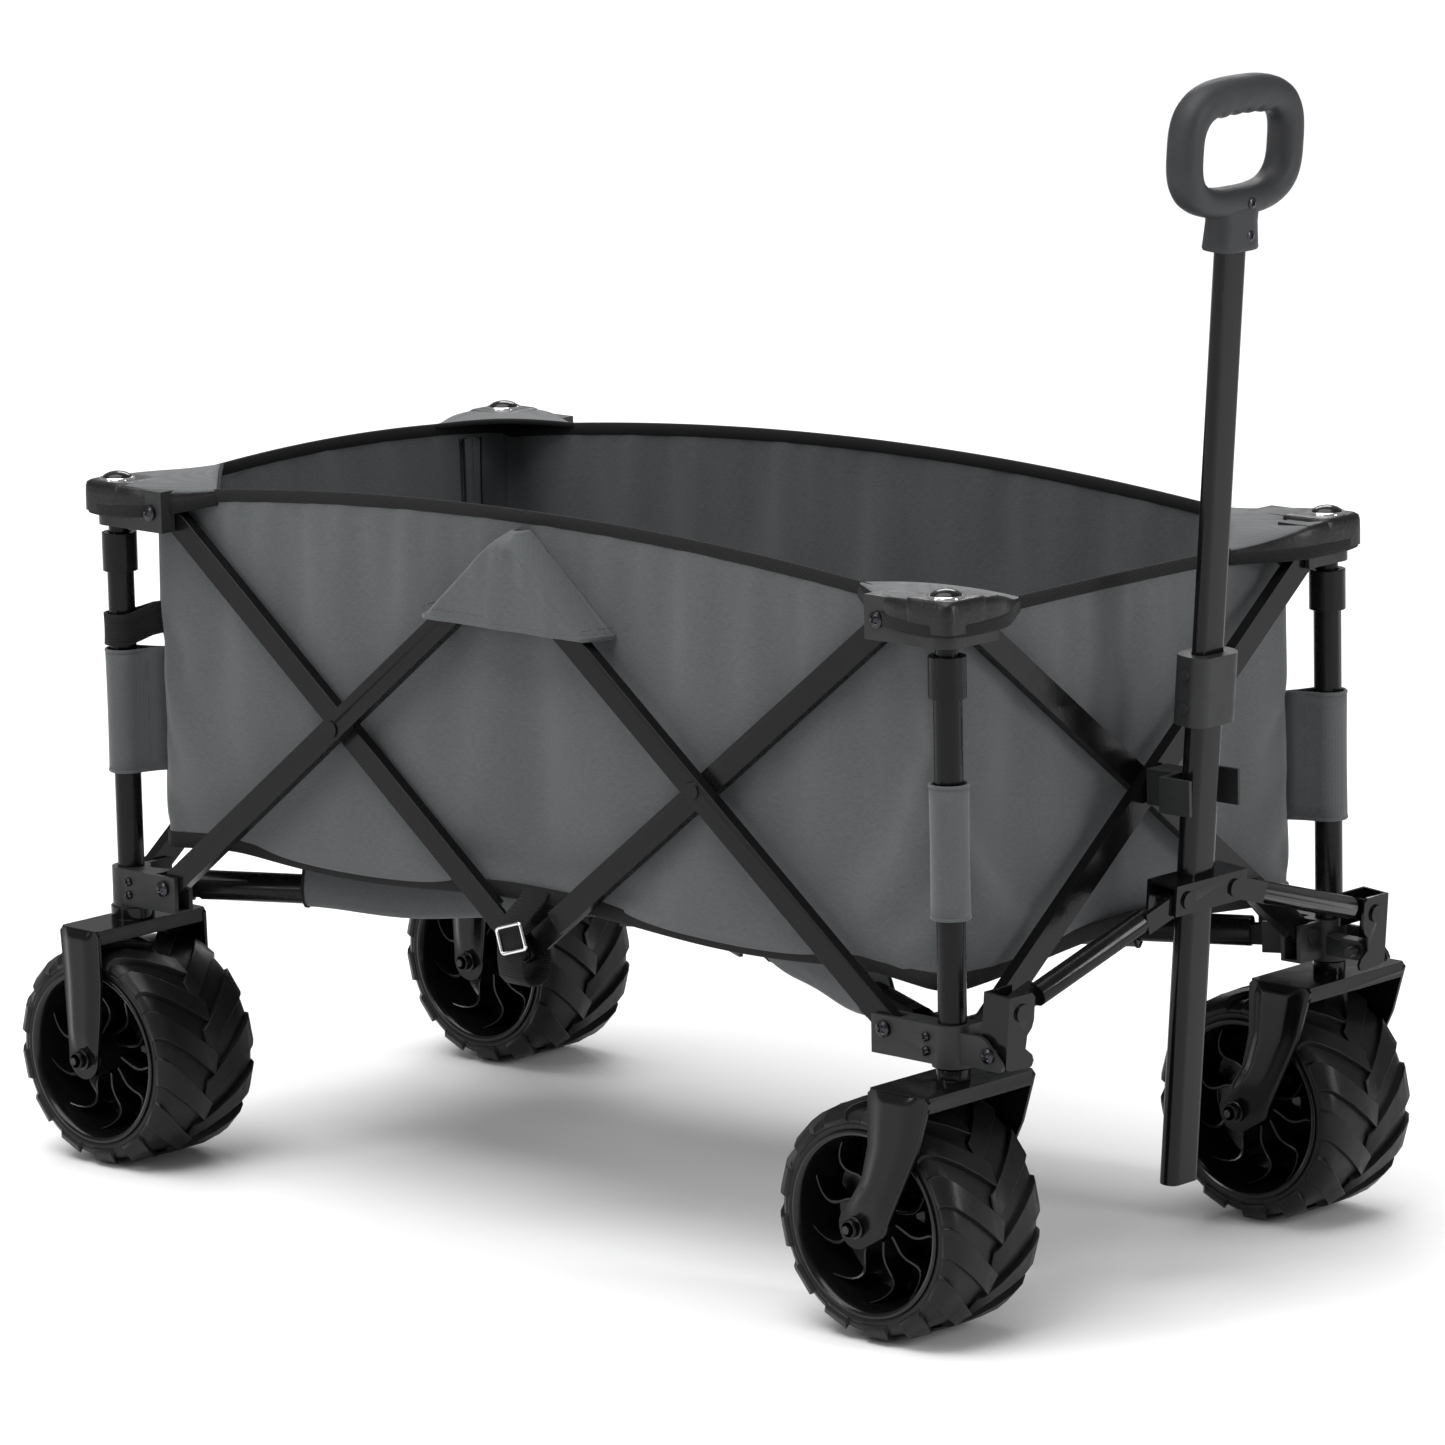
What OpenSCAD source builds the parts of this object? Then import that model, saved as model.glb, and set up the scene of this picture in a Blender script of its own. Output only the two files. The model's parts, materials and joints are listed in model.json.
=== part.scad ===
// Folding utility wagon with a telescoping pull handle.
// +X is the front, where the handle stands, and the right side is -Y. Z = 0 is the ground.
// The frame is three sets of scissor links round a fabric bag, on two swivel casters in
// front and two fixed wheels behind. Every length is in millimetres.

/* [Frame] */
// Distance from the rear posts to the front posts
post_span_x = 900; // [880:5:920]
// Distance from the right posts to the left posts
post_span_y = 450; // [440:2:460]
// Height of the lower link pivots
pivot_low_z = 236; // [234:1:238]
// Height of the upper link pivots
pivot_high_z = 548; // [538:1:553]
// Outer radius of the lower, outer post tube
post_r = 11; // [10:0.5:11]
// Radius of the sliding, inner post
inner_post_r = 8.6; // [7:0.1:8.6]

/* [Links] */
// Width of a flat link tube
link_w = 20; // [18:1:20]
// Thickness of a flat link tube
link_t = 10; // [8:1:10]
// Radius of the rivets and screws that the links turn on
rivet_r = 4; // [3:0.5:4]

/* [Wheels] */
// Outer radius of the tyres
wheel_r = 93; // [86:1:94]
// Width of the tyres
wheel_w = 106; // [80:1:108]
// How far the caster wheels trail behind their swivel axis
caster_trail = 46; // [40:1:50]

/* [Handle] */
// Forward lean of the parked handle, in degrees
handle_lean = 4.6; // [3:0.1:5]
// Length of the outer handle tube above the swing pins
handle_outer_top = 264; // [252:2:272]
// Length of the outer handle tube below the swing pins
handle_outer_low = 146; // [128:2:148]
// Height of the top of the grip above the swing pins
grip_top = 714; // [692:2:732]
// Width of the grip loop
grip_w = 140; // [120:2:150]
// Thickness of the grip loop, front to back
grip_t = 28; // [24:1:30]

/* [Bag] */
// Height of the bag's rim
bag_top = 584; // [578:1:588]
// Height of the underside of the bag's floor
bag_low = 270; // [270:1:274]
// Thickness of the bag's walls
bag_wall = 3; // [2:0.5:4]
// Thickness of the padded floor mat
mat_t = 12; // [8:1:14]

/* [Hidden] */
$fn = 48;

// Colours
STEEL = [0.07, 0.07, 0.075];
PLASTIC = [0.14, 0.145, 0.15];
CLOTH = [0.25, 0.27, 0.28];
TAPE = [0.06, 0.06, 0.065];
TYRE = [0.11, 0.11, 0.115];
RIM = [0.03, 0.03, 0.035];
SILVER = [0.75, 0.75, 0.76];

// Inset of the link pivots from the posts. The two double scissors at the sides and the
// single ones at the ends use links of one length, so the side pivots stand twice as far
// apart as the end pivots and the whole frame folds evenly.
inset_y = 27.5;
pivot_span_y = post_span_y - 2 * inset_y;
inset_x = (post_span_x - 2 * pivot_span_y) / 2;
pivot_rise = pivot_high_z - pivot_low_z;
link_len = sqrt(pow(pivot_span_y, 2) + pow(pivot_rise, 2));
link_angle = atan2(pivot_rise, pivot_span_y);
// Each layer of links is centred this far from the plane of the posts
layer = link_t / 2 + 0.5;
// Where two links of one layer meet, each is cut to half its thickness over this length
lap = 44;
hole_r = rivet_r + 0.6;
loose_hole_r = rivet_r + 1;

// Heights on the posts
bracket_low = 213;
bracket_high = 246;
collar_low = 493;
collar_high = 525;
cap_low = 532;
cap_high = 566;
dome_top = 575;
boss_r = 16;
// Outer face of a bracket arm, from the plane of the posts
cheek = 15.5;
slot_out = layer + link_t / 2 + 1;
slot_in = layer - link_t / 2 - 1;

// Undercarriage arms
diag_angle = atan2(post_span_y, post_span_x);
half_diag = sqrt(pow(post_span_x, 2) + pow(post_span_y, 2)) / 2;
arm_start = 42;
arm_z = 230;
arm_tip = 72;
arm_len = half_diag - arm_start - arm_tip;
arm_r = 9;
hub_low = 210;
hub_r = 36;

// Forks
fork_top = 203;
plate_t = 3;
sidewall = 23;
leg_y = wheel_w / 2 + 5;
axle_r = 5;

// Yoke, in a frame at the swing pins that leans with the handle
swing_x = 42;
swing_z = 228;
latch_y = 212;
latch_pivot_z = 32;
yoke_y = 28;
yoke_z = 86.8;
yoke_len = sqrt(pow(latch_y - yoke_y, 2) + pow(yoke_z - latch_pivot_z, 2));
yoke_angle = atan2(yoke_z - latch_pivot_z, latch_y - yoke_y);
handle_y = 35;
handle_x = 17;
inner_y = 30.6;
inner_x = 12.6;

// Gap between panels of the bag that are sewn edge to edge
seam = 0.05;

// Shift that puts the middle of the whole length at X = 0
front_reach = post_span_x / 2 + swing_x + grip_top * sin(handle_lean) + grip_t / 2 * cos(handle_lean);
rear_reach = post_span_x / 2 + wheel_r;
mid_x = (front_reach - rear_reach) / 2;

// ---- placing ----

// One corner, drawn for the rear right one: fx and fy are -1 or 1, and the corner's own
// +X and +Y point into the wagon.
module corner(fx, fy) {
    translate([fx * post_span_x / 2 - mid_x, fy * post_span_y / 2, 0])
        multmatrix([[-fx, 0, 0, 0], [0, -fy, 0, 0], [0, 0, 1, 0], [0, 0, 0, 1]])
            children();
}

// The handle's frame: origin on the swing pins' axis, +Z up along the leaning tube
module handle_frame() {
    translate([post_span_x / 2 + swing_x - mid_x, 0, swing_z])
        rotate([0, handle_lean, 0])
            children();
}

// A block between two opposite corners
module block(low, high) {
    translate(low) cube(high - low);
}

module pin_x(x0, x1, y, z, r) {
    translate([x0, y, z]) rotate([0, 90, 0]) cylinder(r = r, h = x1 - x0);
}

module pin_y(y0, y1, x, z, r) {
    translate([x, y0, z]) rotate([-90, 0, 0]) cylinder(r = r, h = y1 - y0);
}

module pin_z(z0, z1, x, y, r) {
    translate([x, y, z0]) cylinder(r = r, h = z1 - z0);
}

// Flat section with two round sides, w long on X and t wide on Y
module obround(w, t) {
    square([w - t, t], center = true);
    for (s = [-1, 1]) translate([s * (w - t) / 2, 0]) circle(d = t);
}

module round_rect(w, h, r) {
    square([w - 2 * r, h], center = true);
    square([w, h - 2 * r], center = true);
    for (sx = [-1, 1], sy = [-1, 1]) translate([sx * (w / 2 - r), sy * (h / 2 - r)]) circle(r = r);
}

// ---- brackets and posts ----

// Arm of a bracket along +X, from the post to past the pivot. side is -1 for the outer
// layer of links and 1 for the inner one.
module bracket_arm(side, reach, z0, z1, out) {
    block([0, side < 0 ? -cheek : -out, z0], [reach, side < 0 ? out : cheek, z1]);
}

module link_slot(side, from, reach, z0, z1) {
    block([from, side < 0 ? -slot_out : slot_in, z0], [reach + 1, side < 0 ? -slot_in : slot_out, z1]);
}

// The pivot screw in a bracket arm, with its round head on the outer face
module pivot_screw(x, z, out) {
    pin_y(-cheek, out, x, z, rivet_r);
    pin_y(-cheek - 2.5, -cheek + 0.5, x, z, 6);
}

module turn_to_end() {
    multmatrix([[0, 1, 0, 0], [1, 0, 0, 0], [0, 0, 1, 0], [0, 0, 0, 1]]) children();
}

module lower_bracket(end_side, caster) {
    side_reach = inset_x + 13;
    end_reach = inset_y + 14;
    slot_low = pivot_low_z - link_w / 2 - 8;
    difference() {
        union() {
            pin_z(bracket_low, bracket_high, 0, 0, boss_r);
            bracket_arm(-1, side_reach, bracket_low + 3, bracket_high, 4.5);
            turn_to_end() bracket_arm(end_side, end_reach, bracket_low + 3, bracket_high, 4.5);
            rotate(diag_angle) block([8, -10, bracket_low + 4], [arm_start + 10, 10, arm_z + 12]);
        }
        pin_z(bracket_low + 6, bracket_high + 1, 0, 0, post_r + 0.1);
        if (caster) pin_z(bracket_low - 1, bracket_low + 7, 0, 0, 8.3);
        link_slot(-1, inset_x - link_w / 2 - 3, side_reach, slot_low, bracket_high + 1);
        turn_to_end() link_slot(end_side, boss_r + 0.2, end_reach, slot_low, bracket_high + 1);
        rotate(diag_angle) block([arm_start - 11, -6, bracket_low + 2], [arm_start + 11, 6, arm_z + 13]);
    }
    pivot_screw(inset_x, pivot_low_z, 4.5);
    turn_to_end() translate([0, end_side < 0 ? 0 : 11, 0]) pivot_screw(inset_y, pivot_low_z, 4.5);
    rotate(diag_angle) pin_y(-10, 10, arm_start, arm_z, 3.5);
    for (z = [bracket_low + 12, bracket_high - 10]) pin_y(-cheek - 1.5, -cheek + 1, 13, z, 3.2);
    if (caster) latch_lug();
}

// The front brackets carry the swing pins of the handle's latches between an inner lug and
// an outer ear with a sloping front corner
module latch_lug() {
    lug_y = post_span_y / 2 - latch_y;
    block([-swing_x, lug_y - 6, swing_z - 8], [-12, lug_y + 6, swing_z + 8]);
    pin_y(lug_y - 6, lug_y + 6, -swing_x, swing_z, 8);
    pin_y(-4, lug_y + 16, -swing_x, swing_z, 4);
    translate([0, -4, 0]) rotate([90, 0, 0]) linear_extrude(4)
        polygon([[-12, bracket_low + 4], [-12, swing_z + 13], [-33, swing_z + 13], [-38, swing_z + 11],
                 [-53, swing_z - 4], [-55, swing_z - 8], [-54, swing_z - 11], [-51, swing_z - 12],
                 [-20, bracket_low + 4]]);
    pin_y(-10, -7, -swing_x, swing_z, 4.5);
}

module post_tube() {
    difference() {
        union() {
            pin_z(bracket_low + 6, collar_low + 2, 0, 0, post_r);
            pin_z(collar_low, collar_high, 0, 0, post_r + 3.5);
        }
        pin_z(bracket_low + 12, collar_high + 1, 0, 0, inner_post_r + 0.9);
    }
}

module inner_post() {
    pin_z(pivot_low_z + 34, cap_high - 2, 0, 0, inner_post_r);
}

// Upper bracket with the stud on top. side_end is the layer of its end link.
module upper_bracket(end_side) {
    side_reach = inset_x + 13;
    end_reach = inset_y + 14;
    slot_top = pivot_high_z + link_w / 2 + 3;
    difference() {
        union() {
            pin_z(cap_low, cap_high, 0, 0, boss_r);
            bracket_arm(1, side_reach, cap_low, cap_high, cheek);
            turn_to_end() bracket_arm(end_side, end_reach, cap_low, cap_high, cheek);
        }
        pin_z(cap_low - 1, cap_high - 2, 0, 0, inner_post_r + 0.1);
        link_slot(1, inset_x - link_w / 2 - 3, side_reach, cap_low - 1, slot_top);
        turn_to_end() link_slot(end_side, boss_r + 0.2, end_reach, cap_low - 1, slot_top);
    }
    pivot_screw(inset_x, pivot_high_z, cheek);
    turn_to_end() pivot_screw(inset_y, pivot_high_z, cheek);
    pin_z(cap_high, cap_high + 4, 0, 0, 15);
    pin_z(cap_high + 4, dome_top, 0, 0, 11);
}

// ---- scissor links ----

// A flat link along +X from its first pivot. y_side is the side, -1 or 1, that its rivets
// point to. first and last say what its ends are: "eye", "outer_lap" or "inner_lap".
module link_body(first, last, y_side, mid_hole, hole_a, hole_b) {
    difference() {
        union() {
            block([0, -link_t / 2, -link_w / 2], [link_len, link_t / 2, link_w / 2]);
            for (x = [0, link_len]) pin_y(-link_t / 2, link_t / 2, x, 0, link_w / 2);
        }
        for (x = [first == "eye" ? -1000 : 0, last == "eye" ? -1000 : link_len]) {
            outer = (x == 0 ? first : last) == "outer_lap";
            block([x - lap, outer ? -0.5 : -6, -11], [x + lap, outer ? 6 : 0.5, 11]);
        }
        pin_y(-6, 6, 0, 0, hole_a);
        pin_y(-6, 6, link_len, 0, hole_b);
        if (mid_hole) pin_y(-6, 6, link_len / 2, 0, hole_r);
    }
}

// Rivet that joins a link to its neighbour at x along it, from y0 to y1, headed at both ends
module link_rivet(x, y0, y1) {
    pin_y(y0 - 1.5, y0 + 0.5, x, 0, 7);
    pin_y(y0, y1 + 1, x, 0, rivet_r);
    pin_y(y1 + 1, y1 + 2.5, x, 0, 7);
}

module side_place(x, z, angle, side) {
    translate([x - mid_x, -post_span_y / 2 + side * layer, z]) rotate([0, -angle, 0]) children();
}

// Right side. The risers and fallers of the left side are their mirror images.
module side_rear_riser() {
    side_place(-pivot_span_y, pivot_low_z, link_angle, -1) {
        link_body("eye", "outer_lap", 1, false, hole_r, rivet_r);
        link_rivet(link_len / 2, -link_t / 2, link_t * 1.5 + 1);
        link_rivet(link_len, -link_t / 2, link_t / 2);
    }
}

module side_rear_faller() {
    side_place(-pivot_span_y, pivot_high_z, -link_angle, 1) {
        link_body("eye", "outer_lap", 1, true, hole_r, rivet_r);
        link_rivet(link_len, -link_t / 2, link_t / 2);
    }
}

module side_front_faller() {
    side_place(0, pivot_high_z, -link_angle, -1) {
        link_body("inner_lap", "eye", 1, false, hole_r, hole_r);
        link_rivet(link_len / 2, -link_t / 2, link_t * 1.5 + 1);
    }
}

module side_front_riser() {
    side_place(0, pivot_low_z, link_angle, 1)
        link_body("inner_lap", "eye", 1, true, loose_hole_r, hole_r);
}

module end_place(y, z, angle, side) {
    translate([-post_span_x / 2 + side * layer - mid_x, y, z])
        rotate([0, 0, 90])
            rotate([0, -angle, 0])
                multmatrix([[1, 0, 0, 0], [0, -1, 0, 0], [0, 0, 1, 0], [0, 0, 0, 1]])
                    children();
}

module end_riser(ahead) {
    end_place(-pivot_span_y / 2, pivot_low_z, link_angle, -1) {
        link_body("eye", "eye", 1, false, hole_r, loose_hole_r);
        link_rivet(link_len / 2, -link_t / 2, link_t * 1.5 + 1);
        pin_y(-link_t / 2 - ahead, -link_t / 2, link_len / 2, 0, rivet_r);
    }
}

module end_faller(first_hole, last_hole) {
    end_place(-pivot_span_y / 2, pivot_high_z, -link_angle, 1)
        link_body("eye", "eye", 1, true, first_hole, last_hole);
}

module left_side() {
    multmatrix([[1, 0, 0, 0], [0, -1, 0, 0], [0, 0, 1, 0], [0, 0, 0, 1]]) children();
}

module front_end() {
    translate([-2 * mid_x, 0, 0])
        multmatrix([[-1, 0, 0, 0], [0, 1, 0, 0], [0, 0, 1, 0], [0, 0, 0, 1]])
            children();
}

// ---- undercarriage ----

module arm() {
    eye = 8;
    rotate(diag_angle) translate([arm_start, 0, arm_z]) difference() {
        union() {
            pin_y(-5, 5, 0, 0, eye);
            block([0, -5, -eye], [24, 5, eye]);
            pin_x(20, arm_len - 22, 0, 0, arm_r);
            block([arm_len - 26, -3, -eye], [arm_len, 3, eye]);
            pin_y(-3, 3, arm_len, 0, eye);
            pin_y(-7, 7, arm_len, 0, 3);
        }
        pin_y(-6, 6, 0, 0, 4.1);
    }
}

// Hub under the floor: a disc with one blade beside each arm's end. The blades stand on
// the side that the arms' ends keep clear of as the frame folds.
module hub_body() {
    translate([-mid_x, 0, 0]) {
        pin_z(hub_low, hub_low + 9, 0, 0, hub_r);
        for (a = [[diag_angle, -1], [-diag_angle, -1], [180 - diag_angle, 1], [180 + diag_angle, -1]])
            rotate(a[0]) hub_blade(a[1]);
    }
}

module hub_blade(side) {
    y0 = side < 0 ? -14 : 10.5;
    block([hub_r - 10, y0, hub_low], [arm_tip + 14, y0 + 3.5, arm_z + 8]);
    pin_y(side < 0 ? y0 - 2 : y0 + 3, side < 0 ? y0 + 0.5 : y0 + 5.5, arm_tip, arm_z - 4, 5);
}

// ---- forks and wheels ----

// Side plate of a fork: a broad leg that sweeps from the top plate to the axle. x0 and x1
// are the ends of the top plate, and trail is the axle's place.
module fork_leg(x0, x1, trail) {
    sweep = trail / 46;
    end_r = 17;
    rotate([90, 0, 0]) linear_extrude(plate_t) difference() {
        union() {
            polygon([[x0, fork_top - 4], [x0 + 4, fork_top], [x1 - 4, fork_top], [x1, fork_top - 4],
                     [x1 + 1, fork_top - 45], [x1 - 1 + 9 * sweep, fork_top - 72],
                     [trail + end_r, wheel_r + 3], [trail + end_r, wheel_r], [trail - end_r, wheel_r],
                     [trail - end_r - 15 * sweep, wheel_r + 6], [x0 + 3 + 9 * sweep, fork_top - 42]]);
            translate([trail, wheel_r]) circle(r = end_r);
            hull() {
                translate([trail, wheel_r]) circle(r = end_r);
                translate([trail - end_r - 15 * sweep + 12, wheel_r + 6]) circle(r = 12);
            }
        }
        translate([trail, wheel_r]) circle(r = axle_r + 0.1);
    }
}

module axle_bolt(trail) {
    y_end = leg_y + plate_t;
    for (s = [-1, 1]) translate([0, s * (y_end + 4.6), 0]) pin_y(-4.5, 4.5, trail, wheel_r, 7);
    pin_y(-y_end - 2, y_end + 2, trail, wheel_r, axle_r);
}

module fork(x0, x1, trail) {
    lip = 12;
    difference() {
        block([x0 + 1, -leg_y - 1, fork_top - plate_t], [x1 - 1, leg_y + 1, fork_top]);
        pin_z(fork_top - 2 * plate_t, fork_top + 1, 0, 0, 5);
    }
    for (x = [x0 + 1, x1 - 1 - plate_t])
        block([x, -leg_y - 1, fork_top - lip], [x + plate_t, leg_y + 1, fork_top - plate_t]);
    translate([0, leg_y + plate_t, 0]) fork_leg(x0, x1, trail);
    translate([0, -leg_y, 0]) fork_leg(x0, x1, trail);
    axle_bolt(trail);
}

// In a corner's own directions the front casters trail towards +X
module caster_fork() {
    fork(-29, 32, caster_trail);
    pin_z(fork_top - 1, bracket_low - 1.5, 0, 0, 13);
    pin_z(fork_top - 1, bracket_low + 5, 0, 0, 7.5);
}

module rear_fork() {
    fork(-23, 23, 0);
    pin_z(fork_top - 1, bracket_low, 0, 0, 18);
}

// Tyre section: flat tread with rounded shoulders round a straight bore
module tyre_section() {
    shoulder = 12;
    inner = wheel_r - sidewall;
    translate([inner, -wheel_w / 2]) square([sidewall - shoulder, wheel_w]);
    translate([inner, -wheel_w / 2 + shoulder]) square([sidewall, wheel_w - 2 * shoulder]);
    intersection() {
        translate([inner, -wheel_w / 2]) square([sidewall, wheel_w]);
        for (s = [-1, 1]) translate([wheel_r - shoulder, s * (wheel_w / 2 - shoulder)]) circle(r = shoulder);
    }
}

module tyre(trail) {
    translate([trail, 0, wheel_r]) rotate([90, 0, 0]) rotate_extrude($fn = 72) tyre_section();
}

// Rim: barrel, dished web and hub, bored for the axle
module rim(trail) {
    barrel = wheel_r - sidewall - 0.2;
    translate([trail, 0, wheel_r]) rotate([90, 0, 0]) rotate_extrude($fn = 72) union() {
        translate([barrel - 5, -wheel_w / 2 + 4]) square([5, wheel_w - 8]);
        translate([axle_r + 8, -4]) square([barrel - axle_r - 10, 8]);
        translate([axle_r + 0.6, -leg_y + 1]) square([12, 2 * leg_y - 2]);
    }
}

// ---- handle ----

// Latch on its swing pin: front web with a lobe round the arm's pivot and a foot below,
// outer wall and a short back web, open towards the middle of the wagon so that the yoke
// arm can turn in it. Drawn for the right side.
module latch() {
    translate([0, -latch_y, 0]) difference() {
        union() {
            translate([10, 0, 0]) rotate([90, 0, 90]) linear_extrude(2.5)
                polygon([[-15, -9], [-15, 46], [11, 46], [15, 42], [15, 24], [13, 18], [8, 13], [7, 3],
                         [15, -3], [17, -8], [15, -12], [12, -13], [-6, -12], [-12, -11]]);
            block([-12.5, -15, -9], [12.5, -12.5, 46]);
            block([-12.5, -15, 19], [-10, 15, 46]);
            pin_x(-12.5, 12.5, 0, latch_pivot_z, 3.5);
            pin_x(12, 14.5, 0, latch_pivot_z, 7);
        }
        pin_y(-17, 17, 0, 0, 4.6);
    }
}

// Yoke arm from the latch to the yoke bracket, flattened in front at its upper end
module yoke_arm(joined) {
    translate([0, -latch_y, latch_pivot_z])
        rotate([0, 0, 90])
            rotate([0, -yoke_angle, 0])
                difference() {
                    union() {
                        pin_y(-5, 5, 0, 0, 9);
                        block([0, -5, -8], [30, 5, 8]);
                        pin_x(26, yoke_len - 40, -4.5, 0, 9);
                        block([yoke_len - 44, -13.5, -8.5], [yoke_len, -9.5, 8.5]);
                        pin_y(-13.5, -9.5, yoke_len, 0, 8.5);
                    }
                    pin_y(-6, 6, 0, 0, 4.1);
                    if (joined) pin_y(-14, -9, yoke_len, 0, 4.6);
                }
}

module yoke_channel() {
    low = yoke_z - 11;
    high = yoke_z + 13;
    difference() {
        union() {
            block([14.5, -42, low], [17, 42, high]);
            block([-12.5, -42, low], [-10, 42, high]);
            block([-12.5, -42, high - 2.5], [17, 42, high]);
        }
        translate([0, 0, low]) linear_extrude(40) rotate(90) obround(handle_y + 0.4, handle_x + 0.4);
    }
    pin_x(-12.5, 17, -yoke_y, yoke_z, 4);
    for (s = [-1, 1]) pin_x(16.5, 19, s * yoke_y, yoke_z, 7);
}

module outer_tube() {
    translate([0, 0, -handle_outer_low]) linear_extrude(handle_outer_low + handle_outer_top) difference() {
        rotate(90) obround(handle_y, handle_x);
        rotate(90) obround(handle_y - 3, handle_x - 3);
    }
}

module collar() {
    collar_z = handle_outer_top - 45;
    difference() {
        translate([0, 0, collar_z]) linear_extrude(54) round_rect(31, 50, 12);
        translate([0, 0, collar_z - 1]) linear_extrude(46) rotate(90) obround(handle_y + 0.2, handle_x + 0.2);
        translate([0, 0, collar_z]) linear_extrude(60) rotate(90) obround(inner_y + 1.2, inner_x + 1.2);
    }
    for (z = [collar_z + 14, collar_z + 40]) pin_y(-27, -24, 0, z, 4);
}

module inner_tube() {
    translate([0, 0, handle_outer_top - 82]) linear_extrude(grip_top - 107 - handle_outer_top + 82) difference() {
        rotate(90) obround(inner_y, inner_x);
        rotate(90) obround(inner_y - 3, inner_x - 3);
    }
}

module grip_loop() {
    grip_h = 106;
    rotate([90, 0, 90]) translate([0, 0, -grip_t / 2]) linear_extrude(grip_t) difference() {
        translate([0, grip_top - grip_h / 2]) round_rect(grip_w, grip_h, 30);
        translate([0, grip_top - 56]) round_rect(grip_w - 36, 58, 20);
    }
    difference() {
        translate([0, 0, grip_top - 130]) linear_extrude(26) round_rect(26, 42, 10);
        translate([0, 0, grip_top - 131]) linear_extrude(28) rotate(90) obround(inner_y + 0.2, inner_x + 0.2);
    }
}

// U-shaped clip on the crossing of the front links: the parked handle stands between its prongs
module clip() {
    cross_z = (pivot_low_z + pivot_high_z) / 2;
    translate([post_span_x / 2 - mid_x, 0, cross_z]) difference() {
        union() {
            block([12.5, -12, -14], [41, 12, 14]);
            block([40, -30.5, -14], [43.5, 30.5, 14]);
            for (s = [-1, 1]) block([40, s * 29 - 1.5, -14], [70, s * 29 + 1.5, 14]);
        }
        pin_x(11, 18, 0, 0, hole_r);
    }
}

// ---- soft parts ----

// Bag of five flat panels, a floor and four walls, that meet edge to edge with seam between them
module tub() {
    x = post_span_x / 2 - cheek - 1.5;
    y = post_span_y / 2 - cheek - 1.5;
    floor_top = bag_low + bag_wall;
    translate([-mid_x, 0, 0]) {
        block([-x, -y, bag_low], [x, y, floor_top]);
        for (s = [-1, 1]) {
            block([-x, s * (y - bag_wall / 2) - bag_wall / 2, floor_top + seam],
                  [x, s * (y - bag_wall / 2) + bag_wall / 2, bag_top]);
            block([s * (x - bag_wall / 2) - bag_wall / 2, bag_wall + seam - y, floor_top + seam],
                  [s * (x - bag_wall / 2) + bag_wall / 2, y - bag_wall - seam, bag_top]);
        }
    }
}

module mat() {
    x = post_span_x / 2 - cheek - bag_wall - 6;
    y = post_span_y / 2 - cheek - bag_wall - 6;
    z = bag_low + bag_wall + seam;
    translate([-mid_x, 0, 0]) block([-x, -y, z], [x, y, bag_low + bag_wall + mat_t]);
}

module post_sleeve() {
    difference() {
        pin_z(326, 428, 0, 0, post_r + 4);
        pin_z(325, 429, 0, 0, post_r + 0.6);
    }
}

// Webbing over the lower middle joints of the side links
module joint_strap(side) {
    y = side * (post_span_y / 2 + 6);
    translate([-mid_x, 0, 0]) block([-14, y - 1, pivot_low_z - 28], [14, y + 1, pivot_low_z + 36]);
}

// ---- nodes ----

module bracket_node(fx, fy) {
    color(PLASTIC) corner(fx, fy) lower_bracket(fy, fx > 0);
}

module cap_node(fx, fy) {
    color(PLASTIC) corner(fx, fy) upper_bracket(-fy);
}

bracket_node(-1, -1);  // rear_right_bracket
bracket_node(-1, 1);  // rear_left_bracket
bracket_node(1, -1);  // front_right_bracket
bracket_node(1, 1);  // front_left_bracket
color(STEEL) corner(-1, -1) post_tube();  // rear_right_post
color(STEEL) corner(-1, 1) post_tube();  // rear_left_post
color(STEEL) corner(1, -1) post_tube();  // front_right_post
color(STEEL) corner(1, 1) post_tube();  // front_left_post
cap_node(-1, -1);  // rear_right_cap
cap_node(-1, 1);  // rear_left_cap
cap_node(1, -1);  // front_right_cap
cap_node(1, 1);  // front_left_cap
color(STEEL) corner(-1, -1) inner_post();  // rear_right_inner_post
color(STEEL) corner(-1, 1) inner_post();  // rear_left_inner_post
color(STEEL) corner(1, -1) inner_post();  // front_right_inner_post
color(STEEL) corner(1, 1) inner_post();  // front_left_inner_post
color(STEEL) side_rear_riser();  // right_rear_riser
color(STEEL) side_rear_faller();  // right_rear_faller
color(STEEL) side_front_faller();  // right_front_faller
color(STEEL) side_front_riser();  // right_front_riser
color(STEEL) left_side() side_rear_riser();  // left_rear_riser
color(STEEL) left_side() side_rear_faller();  // left_rear_faller
color(STEEL) left_side() side_front_faller();  // left_front_faller
color(STEEL) left_side() side_front_riser();  // left_front_riser
color(STEEL) end_riser(0);  // rear_end_riser
color(STEEL) end_faller(loose_hole_r, hole_r);  // rear_end_faller
color(STEEL) front_end() end_riser(5);  // front_end_riser
color(STEEL) front_end() end_faller(loose_hole_r, loose_hole_r);  // front_end_faller
color(STEEL) corner(-1, -1) arm();  // rear_right_arm
color(STEEL) corner(-1, 1) arm();  // rear_left_arm
color(STEEL) corner(1, -1) arm();  // front_right_arm
color(STEEL) corner(1, 1) arm();  // front_left_arm
color(PLASTIC) hub_body();  // arm_hub
color(STEEL) corner(-1, -1) rear_fork();  // rear_right_fork
color(STEEL) corner(-1, 1) rear_fork();  // rear_left_fork
color(STEEL) corner(1, -1) caster_fork();  // front_right_caster_fork
color(STEEL) corner(1, 1) caster_fork();  // front_left_caster_fork
color(TYRE) corner(-1, -1) tyre(0);  // rear_right_tyre
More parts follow.
